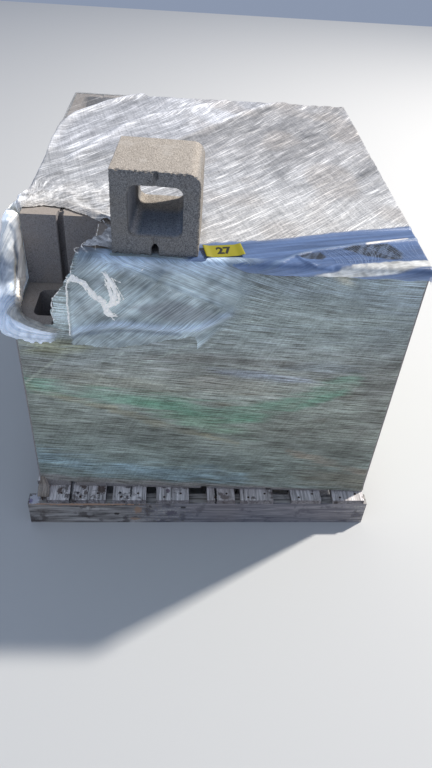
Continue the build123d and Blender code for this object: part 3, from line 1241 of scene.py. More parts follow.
topStrip = {
    "step": 0.0030,
    "left": 0.40,
    "border": (
        (0.40, 0.058), (0.45, 0.074), (0.546, 0.095), (0.640, 0.115), (0.728, 0.149), (0.860, 0.186),
        (0.974, 0.2175), (0.99, 0.220),
    ),
    "hang": 0.023,
    "overSide": 0.010,
    "skin": 0.0050,
    "sideSkin": 0.0035,
    "borderRagged": 0.005,
    "ripple": 0.0012,
    "roll": 0.0025,
    "cover": 0.86,
    "litCover": 0.12,
    "slope": 0.26,
    "crossTurn": (0.5, -0.86),
    "slits": (
        ((0.655, 0.030), (0.690, 0.050), (0.722, 0.060), (0.738, 0.034), (0.722, 0.018), (0.690, 0.018)),
        ((0.770, 0.078), (0.806, 0.098), (0.860, 0.110), (0.898, 0.118), (0.925, 0.070), (0.915, 0.036),
         (0.880, 0.034), (0.830, 0.044)),
    ),
    "folds": (
        (((0.578, -0.012), (0.628, 0.008), (0.659, 0.036), (0.704, 0.062), (0.756, 0.081), (0.825, 0.106),
          (0.910, 0.129), (0.99, 0.150)), 0.0026, 0.0055),
        (((0.666, 0.030), (0.677, 0.010), (0.705, -0.002), (0.740, -0.004)), 0.004, 0.004),
        (((0.470, 0.082), (0.640, 0.112), (0.860, 0.176), (0.98, 0.208)), 0.0025, 0.008),
    ),
    "litTop": ((0.69, -0.021), (0.7255, -0.012), (0.814, 0.010), (0.880, 0.026), (0.974, 0.038)),
    "litFoot": (
        (0.69, -0.030), (0.733, -0.026), (0.808, -0.018), (0.8585, -0.011), (0.90, -0.003),
        (0.959, 0.009), (0.98, 0.011),
    ),
    "glint": ((0.843, 0.1065), (0.950, 0.142)),
    "clouds": ((30, 60, 3.7, 0.5), (90, 140, 9.4, 0.4)),
    "tones": {
        "shade": (0.145, 0.225, 0.42),
        "front": (0.32, 0.45, 0.74),
        "rope": (0.27, 0.38, 0.57),
        "lit": (0.74, 0.73, 0.69),
        "slit": (0.035, 0.042, 0.055),
        "slitStrand": (0.15, 0.19, 0.27),
        "glint": (1.25, 1.14, 1.02),
    },
}


def overEdge(x, back, out):
    # back is measured from the front edge along the top, and below 0 down the front
    r = load["edgeRadius"]
    if back >= r:
        return x, back, load["height"] + out
    quarter = math.pi * r / 2
    if back >= r - quarter:
        angle = (r - back) / r
        return x, r - (r + out) * math.sin(angle), load["height"] - r + (r + out) * math.cos(angle)
    return x, -out, load["height"] - r + (back - r + quarter)


def stripFlow(x, back):
    return x, back - topStrip["slope"] * x


def stripColour(x, back):
    # painted shadow: bluish dark, with one band left sunlit, a painted glint on the fold, and painted
    # lighter down the front, which lies in shade
    tones = topStrip["tones"]
    front = smooth(0.004, -0.006, back)
    colour = mixTone(Vector(tones["shade"]), tones["front"], front)
    colour *= 1 + 0.40 * streaks(*stripFlow(x, back), 0.16, 0.012, 4.4)
    rope = nearestOn(topStrip["folds"][0][0], x, back)[1]
    colour = mixTone(colour, tones["rope"], 0.8 * smooth(0.006, 0.001, rope))
    top = alongLine(topStrip["litTop"], x) + 0.004 * streaks(x, 0, 0.012, 1, 7.7)
    foot = alongLine(topStrip["litFoot"], x)
    lit = smooth(0.003, -0.003, back - top) * smooth(-0.002, 0.002, back - foot) * smooth(0.69, 0.73, x)
    cream = Vector(tones["lit"]) * cloudAt(topStrip["clouds"], x, back)
    colour = mixTone(colour, cream * (1 + 0.8 * front), lit)
    # painted shade: the slits are dark, with dim strands across them
    for slit in topStrip["slits"]:
        if insideOutline(slit, x, back):
            deep = smooth(0.0, 0.007, nearestOn(slit + slit[:1], x, back)[1])
            strand = smooth(-0.1, 0.45, streaks(back + 0.5 * x, x - 0.5 * back, 0.05, 0.006, 5.5))
            colour = mixTone(colour, mixTone(Vector(tones["slit"]), tones["slitStrand"], strand), deep)
    glint = smooth(0.005, 0.001, nearestOn(topStrip["glint"], x, back)[1])
    return mixTone(colour, tones["glint"], glint), max(lit, glint)


def addTopStrip(material):
    left = topStrip["left"]
    span = load["width"] + topStrip["overSide"] - left
    deepest = topStrip["border"][-1][1] + topStrip["hang"]
    obj = addSheet("topStrip", round(span / topStrip["step"]), round(deepest / topStrip["step"]))

    def where(a, b):
        x = left + a * span
        border = alongLine(topStrip["border"], x)
        border += topStrip["borderRagged"] * streaks(x, 0, 0.03, 1, 4.4)
        hang = topStrip["hang"] * (0.95 + 0.25 * streaks(x, 0, 0.05, 1, 8.8)) * smooth(0.50, 0.56, x)
        return x, b * (border + hang) - hang

    def place(a, b):
        x, back = where(a, b)
        lift = foldLift(x, back, topStrip["folds"])
        lift += topStrip["ripple"] * streaks(x, back - 0.25 * x, 0.09, 0.012, 6.1)
        lift += topStrip["roll"] * smooth(0.012, -0.008, back) * smooth(-topStrip["hang"], -0.014, back)
        newX, newY, newZ = overEdge(x, back, topStrip["skin"] + lift)
        beyond = max(0.0, x - load["width"])
        return min(newX, load["width"] + topStrip["sideSkin"]), newY, newZ - beyond

    def flow(a, b):
        return stripFlow(*where(a, b))

    def cross(a, b):
        return turned(*where(a, b), topStrip["crossTurn"])

    def tint(a, b):
        colour, lit = stripColour(*where(a, b))
        fade = smooth(0.0, 0.05, a) * smooth(1.0, 0.93, b)
        return *colour, fade * (topStrip["cover"] + topStrip["litCover"] * lit)

    shapeSheet(obj, place, flow, cross, tint)
    finishFilm(obj, material)


# The torn flap: from under the sample over the front edge, and loose down the front

frontFlap = {
    "step": 0.0042,
    "skin": 0.0040,
    "pressed": 0.0009,
    "left": (
        (-0.04, 0.170), (0.0, 0.160), (0.04, 0.147), (0.09, 0.134), (0.204, 0.133), (0.25, 0.136),
    ),
    "right": ((-0.04, 0.620), (0.0, 0.605), (0.075, 0.580), (0.16, 0.545), (0.25, 0.510)),
    "reach": 0.032,
    "clouds": ((13, 19, 6.1, 0.75), (50, 62, 2.1, 0.40)),
    "drop": (
        (0.084, 0.225), (0.139, 0.236), (0.190, 0.240), (0.244, 0.243), (0.326, 0.229), (0.407, 0.210),
        (0.451, 0.198), (0.463, 0.215), (0.473, 0.238), (0.487, 0.214), (0.507, 0.186), (0.54, 0.150),
        (0.62, 0.120),
    ),
    # the drop is given along this part of x
    "dropFrom": 0.13,
    "dropSpan": 0.42,
    "sheet": (0.45, 0.28),
    "hemRagged": 0.005,
    "leftRagged": 0.0025,
    "ripple": 0.0022,
    "leftCurl": 0.004,
    "hemCurl": 0.0035,
    "edgeRoll": 0.0030,
    "cover": 0.90,
    "clear": 0.30,
    "crossTurn": (0.95, 0.3),
    "seam": (0.365, 0.715, -0.41),
    "rise": 0.92,
    "fall": -0.41,
    "folds": (
        (((0.134, 0.585), (0.247, 0.606), (0.366, 0.598), (0.446, 0.604), (0.523, 0.645)), 0.007, 0.010),
        (((0.254, 0.774), (0.365, 0.717), (0.518, 0.655)), 0.005, 0.006),
        (((0.150, 0.640), (0.214, 0.700), (0.270, 0.765)), 0.004, 0.010),
        (((0.255, 0.632), (0.327, 0.704), (0.364, 0.755)), 0.004, 0.008),
        (((0.180, 0.565), (0.300, 0.568), (0.400, 0.580)), 0.003, 0.006),
    ),
    "blueBand": ((0.134, 0.578), (0.247, 0.603), (0.366, 0.594), (0.446, 0.601), (0.523, 0.647)),
    "darkLine": ((0.141, 0.559), (0.166, 0.570), (0.240, 0.583), (0.326, 0.583), (0.40, 0.580)),
    "diamond": (0.395, 0.642, 0.135, 0.040),
    "tones": {
        "hanging": (0.88, 0.94, 0.94),
        "edgeSheen": (0.86, 0.98, 1.16),
        "left": (1.02, 1.06, 1.06),
        "band": (1.18, 1.30, 1.52),
        "line": (0.50, 0.55, 0.62),
        "diamond": (0.58, 0.58, 0.60),
    },
}


def flapColour(x, back):
    z = load["height"] + min(0.0, back)
    tones = frontFlap["tones"]
    # painted sheen: bluer where the flap lies on the top and over the edge
    sheen = smooth(-0.050, 0.0, back)
    colour = mixTone(Vector(tones["hanging"]), tones["edgeSheen"], sheen)
    colour = mixTone(colour, tones["left"], smooth(0.28, 0.20, x) * smooth(0.58, 0.66, z) * (1 - sheen))
    colour *= cloudAt(frontFlap["clouds"], x, z)
    band = smooth(0.016, 0.004, nearestOn(frontFlap["blueBand"], x, z)[1])
    colour = mixTone(colour, tones["band"], 0.85 * band)
    line = smooth(0.007, 0.002, nearestOn(frontFlap["darkLine"], x, z)[1])
    colour = mixTone(colour, tones["line"], 0.8 * line)
    middleX, middleZ, halfX, halfZ = frontFlap["diamond"]
    diamond = abs(x - middleX) / halfX + abs(z - middleZ + 0.1 * (x - middleX)) / halfZ
    return mixTone(colour, tones["diamond"], 0.8 * smooth(1.1, 0.6, diamond))


def addFrontFlap(material):
    across, up = frontFlap["sheet"]
    obj = addSheet("frontFlap", round(across / frontFlap["step"]), round(up / frontFlap["step"]))

    def where(a, b):
        # b 0 is the torn hem below, and b 1 the border lying on the top
        x = frontFlap["dropFrom"] + a * frontFlap["dropSpan"]
        drop = alongLine(frontFlap["drop"], x) + frontFlap["hemRagged"] * streaks(x, 0, 0.006, 1, 2.2)
        down = drop - b * (drop + frontFlap["reach"])
        leftEdge = alongLine(frontFlap["left"], down)
        leftEdge += frontFlap["leftRagged"] * streaks(down, 0, 0.008, 1, 9.1)
        rightEdge = alongLine(frontFlap["right"], down)
        return leftEdge + a * (rightEdge - leftEdge), -down

    def place(a, b):
        x, back = where(a, b)
        z = load["height"] + min(0.0, back)
        loose = smooth(0.0, -0.03, back)
        s, t = flow(a, b)
        lift = foldLift(x, z, frontFlap["folds"]) * loose
        lift += frontFlap["ripple"] * (1 + streaks(s, t, 0.12, 0.014, 5.5)) * smooth(0.0, -0.04, back)
        lift += frontFlap["leftCurl"] * smooth(0.10, 0.0, a) * (1 + streaks(back, 0, 0.03, 1, 3.0))
        lift += frontFlap["hemCurl"] * smooth(0.12, 0.0, b) * (1 + streaks(x, 0, 0.03, 1, 6.0))
        lift += frontFlap["edgeRoll"] * bell(back, 0.014)
        press = smooth(0.001, 0.006, back) * smooth(0.232, 0.240, x) * smooth(0.458, 0.450, x)
        out = (frontFlap["skin"] + lift) * (1 - press) + frontFlap["pressed"] * press
        return overEdge(x, back, out)

    def flow(a, b):
        # the streaks rise to the right below the seam, and fall to the right above it
        x, back = where(a, b)
        seamX, seamZ, slope = frontFlap["seam"]
        above = load["height"] + back - seamZ - slope * (x - seamX) > 0
        lean = frontFlap["fall"] if above else frontFlap["rise"]
        length = math.hypot(1, lean)
        return (x + lean * back) / length, (back - lean * x) / length

    def cross(a, b):
        return turned(*where(a, b), frontFlap["crossTurn"])

    def tint(a, b):
        x, back = where(a, b)
        fade = smooth(1.0, 0.78, a) * smooth(0.0, 0.03, a)
        clear = frontFlap["clear"] * smooth(0.24, 0.17, x) * smooth(0.60, 0.72, load["height"] + back)
        return *flapColour(x, back), fade * (frontFlap["cover"] - clear)

    shapeSheet(obj, place, flow, cross, tint)
    finishFilm(obj, material, "front_flap")


# The loose film round the empty corner: a curtain down the left and a drape in front

cornerFilm = {
    "levels": 4,
    "relief": 0.0032,
    "length": 0.36,
    "height": 0.25,
    "drape": 0.16,
    "clouds": ((26, 3, 2.2, 0.26), (60, 7, 6.4, 0.18)),
    "hemRagged": 0.009,
    "hemStreaks": (0.011, 0.02, 4.2),
    # each crease: its share of the relief, its length, its width and its place in the noise
    "creases": ((1, 0.12, 0.016, 2.9), (0.55, 0.05, 0.0075, 6.3)),
    # each dent: its share and its scale
    "dents": ((0.8, 45), (0.35, 110)),
    # columns from the back of the left wall round to the front. Each starts at the wall or
    # the torn hem, bellies out, rises to the rim and turns in behind it.
    "columns": (
        ((-3, 300, 560), (-4, 300, 590), (-4, 300, 640), (-4, 300, 690),
         (-4, 300, 740), (-4, 300, 768), (-2, 298, 776)),
        ((-3, 262, 560), (-26, 256, 556), (-42, 250, 605), (-44, 248, 665),
         (-44, 250, 716), (-42, 256, 754), (-30, 262, 770)),
        ((-3, 200, 566), (-32, 196, 548), (-58, 190, 590), (-62, 186, 655),
         (-61, 190, 708), (-62, 208, 748), (-50, 226, 762)),
        ((-3, 140, 568), (-34, 134, 546), (-62, 126, 580), (-66, 125, 640),
         (-53, 150, 715), (-22, 198, 776), (-8, 212, 782)),
        ((-3, 95, 568), (-34, 90, 546), (-62, 86, 575), (-64, 96, 628),
         (-40, 140, 700), (-3, 190, 752), (-4, 206, 748)),
        ((-3, 62, 568), (-32, 56, 545), (-58, 52, 570), (-56, 68, 612),
         (-33, 115, 662), (0, 172, 692), (-3, 207, 680)),
        ((-3, 36, 566), (-28, 30, 544), (-50, 26, 566), (-47, 40, 598),
         (-29, 80, 632), (-2, 140, 634), (-3, 196, 604)),
        ((-3, 14, 562), (-22, 8, 543), (-38, 4, 562), (-37, 12, 590),
         (-26, 45, 611), (-4, 90, 613), (-2, 110, 584)),
        ((-6, -4, 546), (-12, -10, 548), (-19, -16, 564), (-18, -12, 590),
         (-13, 8, 609), (2, 35, 615), (8, 46, 586)),
        ((12, -8, 546), (11, -13, 556), (10, -20, 570), (12, -21, 589),
         (18, -14, 605), (28, -2, 611), (38, 16, 586)),
        ((40, -7, 538), (40, -13, 550), (41, -20, 565), (45, -23, 580),
         (52, -21, 592), (60, -14, 597), (68, 6, 584)),
        ((72, -5, 536), (73, -10, 546), (75, -15, 557), (79, -18, 569),
         (85, -18, 578), (92, -13, 582), (98, 0, 580)),
        ((105, -4, 539), (106, -6, 548), (108, -8, 557), (111, -9, 564),
         (115, -8, 569), (120, -5, 572), (124, -3, 573)),
    ),
    "tones": {
        "shade": (1.42, 1.52, 1.66),
        "litBelly": (0.30, 0.36, 0.46),
        "sunny": (1.45, 1.42, 1.36),
        "litCrest": (0.34, 0.32, 0.28),
        "insideGlowLeft": (2.9, 2.85, 2.75),
        "insideGlowFront": (3.1, 2.7, 2.2),
        "shadedFold": (0.74, 0.675, 0.565),
    },
}


def cornerColour(a, b, z):
    # painted light and shade: bluish in the shade, the lit belly and crest near white, the top painted
    # sunlit, a beige inner side painted glowing, and a brown fold painted darker as shade. The lit tones are
    # low and the shaded ones high, as they even out the scene's light
    tones = cornerFilm["tones"]
    high = smooth(0.665, 0.720, z)
    sunny = smooth(0.50, 0.70, b) * smooth(0.54, 0.40, a) * high
    litBelly = smooth(0.55, 0.61, b) * smooth(0.55, 0.48, a) * smooth(0.615, 0.645, z)
    colour = mixTone(Vector(tones["shade"]), tones["litBelly"], litBelly)
    colour = mixTone(colour, tones["sunny"], sunny)
    litCrest = bell(b - 0.78, 0.02) * smooth(0.62, 0.52, a) * (1 - high)
    colour = mixTone(colour, tones["litCrest"], litCrest)
    inside = mixTone(Vector(tones["insideGlowLeft"]), tones["insideGlowFront"], smooth(0.20, 0.30, a))
    colour = mixTone(colour, inside, smooth(0.80, 0.84, b))
    shadedFold = smooth(0.60, 0.66, b) * smooth(0.58, 0.67, a)
    colour = mixTone(colour, tones["shadedFold"], 0.9 * shadedFold)
    return *(colour * cloudAt(cornerFilm["clouds"], a, b)), 0.96 * smooth(1.0, 0.92, a)


def tintCorner(obj):
    mesh = obj.data
    cross = mesh.uv_layers["cross"].data
    tint = mesh.attributes["tint"].data
    for loop in mesh.loops:
        u, v = cross[loop.index].uv
        z = mesh.vertices[loop.vertex_index].co.z
        tint[loop.vertex_index].color = cornerColour(u / cornerFilm["length"], v / cornerFilm["height"], z)


def addCornerFilm(material):
    columns = cornerFilm["columns"]
    wide = len(columns) - 1
    high = len(columns[0]) - 1
    obj = addSheet("cornerFilm", wide, high)

    def place(a, b):
        return Vector(columns[round(a * wide)][round(b * high)]) / 1000

    def flow(a, b):
        # down the left from the neck, and along the drape in front
        inFront = smooth(0.45, 0.72, a)
        s = cornerFilm["height"] * b * (1 - inFront) + cornerFilm["length"] * a * inFront
        return s, cornerFilm["length"] * a * (1 - inFront) - cornerFilm["drape"] * b * inFront

    def cross(a, b):
        return a * cornerFilm["length"], b * cornerFilm["height"]

    def tint(a, b):
        # only holds the attribute: tintCorner fills it in when the cage is divided
        return 1.0, 1.0, 1.0, 1.0

    shapeSheet(obj, place, flow, cross, tint)
    applyModifier(obj, "SUBSURF", levels=cornerFilm["levels"], render_levels=cornerFilm["levels"])
    tintCorner(obj)
    crumple(obj)
    raggedHem(obj)
    finishFilm(obj, material, "corner_film")


def raggedHem(obj):
    # the free edge in front is torn: it drops and lifts in short steps
    mesh = bmesh.new()
    mesh.from_mesh(obj.data)
    for vertex in mesh.verts:
        low = smooth(0.556, 0.548, vertex.co.z) * smooth(0.004, -0.004, vertex.co.y)
        if vertex.is_boundary and low > 0:
            step = streaks(vertex.co.x, vertex.co.y, *cornerFilm["hemStreaks"])
            vertex.co.z += low * cornerFilm["hemRagged"] * step
    mesh.to_mesh(obj.data)
    mesh.free()


def crumple(obj):
    # sculpts folds that follow the film's flow, and smaller dents between them
    mesh = obj.data
    relief = cornerFilm["relief"]
    flow = mesh.uv_layers["flow"].data
    spots = {}
    for loop in mesh.loops:
        spots[loop.vertex_index] = flow[loop.index].uv.copy()
    moves = []
    for vertex in mesh.vertices:
        s, t = spots[vertex.index]
        lift = 0.0
        for share, long, wide, seed in cornerFilm["creases"]:
            lift += relief * share * streaks(s, t, long, wide, seed)
        for share, scale in cornerFilm["dents"]:
            lift += relief * share * noise.noise(vertex.co * scale)
        moves.append(vertex.normal * lift)
    for vertex, move in zip(mesh.vertices, moves):
        vertex.co += move


# The film's tail at the front left corner, drawn down to the deck

tail = {
    "faces": (16, 20),
    "wide": 0.034,
    "long": 0.06,
    "top": 0.042,
    "foot": 0.0012,
    "lean": 0.044,
    "clear": 0.002,
    "ripple": 0.0022,
    # the top is gathered to this share of the width, and the part of the sheet at neckFrom of
    # its width hangs at neck of it
    "gathered": 0.35,
    "neckFrom": 0.35,
    "neck": 0.28,
    "tone": (0.52, 0.41, 0.36),
    "cover": 0.9,
}


def addTail(material):
    obj = addSheet("filmTail", *tail["faces"])

    def gathers(a, b):
        return streaks(a * 0.03, b * 0.01, 0.006, 0.05, 2.7)

    def place(a, b):
        gather = tail["gathered"] + (1 - tail["gathered"]) * smooth(0.0, 0.7, 1 - b)
        x = tail["wide"] * (tail["neck"] + (a - tail["neckFrom"]) * gather)
        x += 0.002 * streaks(b, a, 0.3, 0.1, 1.1)
        y = -frontFilm["skin"] - tail["clear"] - tail["lean"] * (1 - b) ** 1.4
        return x, y + tail["ripple"] * gathers(a, b), tail["foot"] + tail["top"] * b

    def flow(a, b):
        return b * tail["long"], a * tail["wide"]

    def cross(a, b):
        return a * tail["wide"], b * tail["long"]

    def tint(a, b):
        return *(Vector(tail["tone"]) * (1 + 0.5 * gathers(a, b))), tail["cover"]

    shapeSheet(obj, place, flow, cross, tint)
    finishFilm(obj, material, "wrap_tail")


# White twisted strands of torn film, and hair-thin threads over the strip's painted slits

strandPaths = {
    # x, z on the front and how far it stands out, then the thickness and how many
    # smaller strands wind round it, in millimetres
    "long": (
        ((140, 716, 9), (152, 729, 12), (165, 724, 14), (178, 717, 15), (189, 702, 15), (198, 688, 15),
         (209, 676, 14), (220, 670, 13), (225, 655, 13), (226, 640, 13), (234, 631, 12), (246, 624, 10)),
        9.0, 7),
    "second": (((160, 727, 10), (178, 712, 13), (192, 697, 16), (204, 682, 16), (216, 672, 14)), 6.0, 5),
    "branch": (
        ((220, 656, 13), (232, 656, 16), (243, 668, 17), (248, 682, 17), (249, 700, 16), (240, 724, 14),
         (224, 739, 8)), 8.0, 6),
    "branchTwo": (((222, 650, 12), (238, 664, 16), (240, 684, 18), (236, 704, 16), (228, 722, 12)), 6.5, 5),
    "branchThree": (
        ((228, 650, 12), (247, 661, 15), (258, 672, 15), (256, 690, 15), (246, 712, 12)), 5.0, 4),
    "knob": (((218, 664, 13), (227, 648, 16), (236, 634, 15), (244, 626, 12)), 9.5, 6),
    "twig": (((242, 727, 10), (250, 712, 12), (258, 696, 12), (267, 674, 9)), 2.6, 1),
    "twigTwo": (((236, 732, 8), (250, 722, 11), (262, 718, 10)), 1.4, 0),
    "leftRim": (
        ((152, 730, 8), (141, 714, 8), (136, 696, 7), (138, 676, 7), (134, 651, 7), (137, 626, 7),
         (134, 604, 7), (137, 584, 7), (134, 562, 6)), 3.6, 4),
    "wispOne": (((156, 760, 4), (149, 742, 6), (152, 722, 6), (141, 706, 5)), 1.2, 0),
    "wispTwo": (((101, 660, 4), (96, 646, 6), (103, 634, 5), (93, 622, 5), (99, 604, 4)), 1.6, 1),
    "wispThree": (((122, 690, 3), (112, 676, 6), (101, 664, 4)), 1.3, 0),
    "sheen": (((332, 776, 3), (320, 760, 5), (301, 742, 6), (292, 733, 5)), 1.6, 0),
}

# the same over the top: x, y and how far above it
topStrandPaths = {
    "first": (((197, 150, 3), (200, 110, 6), (199, 74, 7), (205, 20, 5)), 1.3),
    "second": (((216, 124, 3), (226, 90, 6), (237, 54, 4)), 1.1),
    "third": (((176, 60, 3), (168, 40, 6), (180, 22, 5), (190, 8, 5)), 1.5),
    "curl": (((166, 30, 4), (158, 22, 7), (160, 8, 7), (170, 4, 5)), 1.2),
}

# how the smaller strands wind: their turn from one to the next and from point to point, how
# far off they lie per millimetre of thickness, and what divides a thickness in millimetres to
# give a radius in metres. Each spread is the part of it that is scattered
winding = {
    "turn": 2.4,
    "twist": 1.3,
    "twistSpread": 0.6,
    "reach": 0.00035,
    "reachSpread": 0.00055,
    "core": 2300,
    "thin": 4300,
    "thinSpread": 3800,
    # scale and depth of the dents in the joined strands
    "dents": ((420, 0.0014), (170, 0.0022)),
}

threads = {
    "radius": 0.00022,
    "pieces": 5,
    "high": 0.0085,
    "sag": 0.003,
    # two points along a slit's back edge and two along its front, how many threads run from
    # one line to the other, and how far they bow
    "bundles": (
        (((0.715, 0.060), (0.790, 0.088)), ((0.752, -0.014), (0.812, -0.004)), 16, 0.012),
        (((0.790, 0.088), (0.850, 0.102)), ((0.812, -0.002), (0.850, 0.018)), 9, 0.010),
        (((0.820, 0.094), (0.905, 0.116)), ((0.895, 0.036), (0.925, 0.024)), 12, 0.006),
        (((0.905, 0.118), (0.962, 0.132)), ((0.935, 0.034), (0.962, 0.040)), 5, -0.004),
    ),
}


def addCurve(name, points, radius, roundness=2):
    curve = bpy.data.curves.new(name, "CURVE")
    curve.dimensions = "3D"
    curve.bevel_depth = radius
    curve.bevel_resolution = roundness
    curve.resolution_u = 10
    curve.use_fill_caps = True
    spline = curve.splines.new("NURBS")
    spline.points.add(len(points) - 1)
    last = len(points) - 1
    for index, (knot, point) in enumerate(zip(spline.points, points)):
        knot.co = (*point, 1)
        # the ends taper
        knot.radius = 0.35 + 0.65 * smooth(0.0, 0.25, min(index, last - index) / max(last, 1) + 0.02)
    spline.order_u = 3
    spline.use_endpoint_u = True
    obj = bpy.data.objects.new(name, curve)
    bpy.context.scene.collection.objects.link(obj)
    return obj


def joinAll(name, parts):
    deselectAll()
    for part in parts:
        part.select_set(True)
    bpy.context.view_layer.objects.active = parts[0]
    bpy.ops.object.convert(target="MESH")
    bpy.ops.object.join()
    obj = bpy.context.object
    obj.name = name
    obj.data.name = name
    return obj


def windRound(name, route, thick, count):
    # the main strand and the smaller ones that wind round it
    parts = [addCurve(name, route, thick / winding["core"])]
    for number in range(count):
        wound = []
        for index, point in enumerate(route):
            twist = winding["twist"] + winding["twistSpread"] * randomShare(number, 3)
            angle = number * winding["turn"] + index * twist
            reach = winding["reach"] + winding["reachSpread"] * randomShare(index, number)
            side = Vector((math.cos(angle), 0.7 * math.sin(angle) - 0.3, math.sin(angle)))
            wound.append(point + side * thick * reach)
        divisor = winding["thin"] + winding["thinSpread"] * randomShare(number, 7)
        parts.append(addCurve(name + "Wound", wound, thick / divisor))
    return parts


def addStrands(material):
    parts = []
    for name, (points, thick, count) in strandPaths.items():
        route = [Vector((x, -out, z)) / 1000 for x, z, out in points]
        parts += windRound(name, route, thick, count)
    for name, (points, thick) in topStrandPaths.items():
        route = [Vector((x, y, load["height"] * 1000 + up)) / 1000 for x, y, up in points]
        parts += windRound(name, route, thick, 1)
    obj = joinAll("filmStrands", parts)
    normals = [vertex.normal.copy() for vertex in obj.data.vertices]
    for vertex, normal in zip(obj.data.vertices, normals):
        vertex.co += normal * noiseSum(vertex.co, winding["dents"])
    finishFilm(obj, material)


def randomShare(index, seed):
    # the same scattered value from 0 to 1 each run
    value = math.sin(index * 12.9898 + seed * 78.233) * 43758.5453
    return value - math.floor(value)


def threadRoute(start, end, bow, index):
    route = []
    for step in range(threads["pieces"] + 1):
        along = step / threads["pieces"]
        arch = math.sin(math.pi * along)
        spot = start.lerp(end, along)
        spot.x += bow * arch * (0.7 + 0.6 * randomShare(index, 9))
        high = threads["high"] - threads["sag"] * arch * randomShare(index, 4)
        route.append(Vector(overEdge(spot.x, spot.y, high)))
    return route


def addThreads(material):
    # fine threads drawn over the slits from their back edge to their front
    parts = []
    for number, (back, front, count, bow) in enumerate(threads["bundles"]):
        for index in range(count):
            share = (index + 0.6 * randomShare(index, number)) / count
            shuffled = (index + 1.6 * randomShare(index, number + 5)) / count
            start = Vector(back[0]).lerp(Vector(back[1]), share)
            end = Vector(front[0]).lerp(Vector(front[1]), min(1.0, shuffled))
            radius = threads["radius"] * (0.6 + 1.1 * randomShare(index, number + 8))
            parts.append(addCurve("thread", threadRoute(start, end, bow, index), radius, 0))
    finishFilm(joinAll("slitThreads", parts), material)


def makeWhiteFilm():
    material, shader = newMaterial("glowingTwistedFilm")
    creaseLight = noiseAt(shader, objectPlace(shader), 260.0)
    white = ramp(shader, creaseLight, (0.35, (0.72, 0.74, 0.76)), (0.60, (0.98, 0.97, 0.94)))
    linkTo(shader, white, "Base Color")
    # painted light: the strands glow with a weak emission, brighter than the shade they hang in
    linkTo(shader, white, "Emission Color")
    setInputs(shader, {"Emission Strength": 0.24, "Roughness": 0.32})
    addBump(shader, (creaseLight, 0.002, 0.6))
    return material


def makeThreadFilm():
    material, shader = newMaterial("shadedThreadFilm")
    # painted shadow: the white threads are made bluish and dim, as in the strip's painted shadow
    setInputs(shader, {"Base Color": (0.40, 0.50, 0.68, 1), "Roughness": 0.4})
    return material


# The number label, a sheet of paper with a plain number

label = {
    "wide": 0.091,
    "deep": 0.051,
    "middle": (0.4945, 0.0380),
    "turnDegrees": 10.5,
    "height": 0.0080,
    "number": "27",
    "letterSize": 0.038,
    "numberStretch": 0.88,
    "bold": 0.0015,
    "paper": 0.0003,
    "ink": 0.00012,
    "ripple": 0.0016,
    "rippleStreaks": (0.05, 0.08, 5.0),
    "curl": 0.0035,
    "curlFrom": 0.6,
    "faces": (26, 16),
    # the label tilts about a line this far behind its middle
    "tilt": 0.03,
    "tiltAbout": 0.01,
}


def labelLift(x, y):
    ripple = label["ripple"] * streaks(x, y, *label["rippleStreaks"])
    curl = label["curl"] * smooth(label["curlFrom"], 1.0, abs(x) / (label["wide"] / 2))
    return ripple + curl - label["tilt"] * (label["tiltAbout"] - y)


def addLabelSheet(paper, place):
    sheet = addSheet("numberLabel", *label["faces"])
    for vertex in sheet.data.vertices:
        x = (vertex.co.x - 0.5) * label["wide"]
        y = (vertex.co.y - 0.5) * label["deep"]
        vertex.co = (x, y, labelLift(x, y))
    applyModifier(sheet, "SOLIDIFY", thickness=label["paper"], offset=-1)
    sheet.data.transform(place)
    sheet.data.shade_smooth()
    finishPiece(sheet, paper, "label_paper", "number_label")


def addLabelNumber(ink, place):
    deselectAll()
    bpy.ops.object.text_add()
    words = bpy.context.object
    words.name = "labelNumber"
    words.data.body = label["number"]
    words.data.size = label["letterSize"]
    words.data.offset = label["bold"]
    words.data.extrude = label["ink"]
    words.data.align_x = "CENTER"
    words.data.align_y = "CENTER"
    bpy.ops.object.convert(target="MESH")
    words = bpy.context.object
    startEdit(words)
    bpy.ops.mesh.select_all(action="SELECT")
    bpy.ops.mesh.quads_convert_to_tris()
    bpy.ops.mesh.subdivide(number_cuts=2)
    endEdit()
    for vertex in words.data.vertices:
        x = vertex.co.x * label["numberStretch"]
        y = vertex.co.y
        vertex.co = (x, y, vertex.co.z + labelLift(x, y) + label["paper"])
    words.data.transform(place)
    finishPiece(words, ink, "label_paper")


def addLabel(paper, ink):
    place = (
        loadPlace
        @ Matrix.Translation((*label["middle"], load["height"] + label["height"]))
        @ Matrix.Rotation(math.radians(label["turnDegrees"]), 4, "Z")
    )
    addLabelSheet(paper, place)
    addLabelNumber(ink, place)


# Dressing the imported pieces

# two copies of one concrete, each set for the light it lies in: painted light and shade. The sample's is the
# darker one
concreteLooks = {
    "stacked": {
        "dark": (0.19, 0.18, 0.185),
        "light": (0.42, 0.395, 0.39),
        "warm": (0.36, 0.31, 0.27),
        "pore": (0.06, 0.058, 0.058),
        "sunlitDust": (0.34, 0.285, 0.24),
        "sunlitDustLight": (0.48, 0.42, 0.36),
        "scuff": (0.52, 0.47, 0.42),
        "sunlitDustAmount": 0.8,
        "tinted": False,
    },
    "sample": {
        "dark": (0.085, 0.085, 0.09),
        "light": (0.35, 0.345, 0.34),
        "warm": (0.235, 0.215, 0.19),
        "pore": (0.03, 0.03, 0.032),
        "sunlitDust": (0.21, 0.18, 0.15),
        "sunlitDustLight": (0.64, 0.575, 0.50),
        "scuff": (0.62, 0.58, 0.53),
        "sunlitDustAmount": 1.0,
        "tinted": True,
    },
}

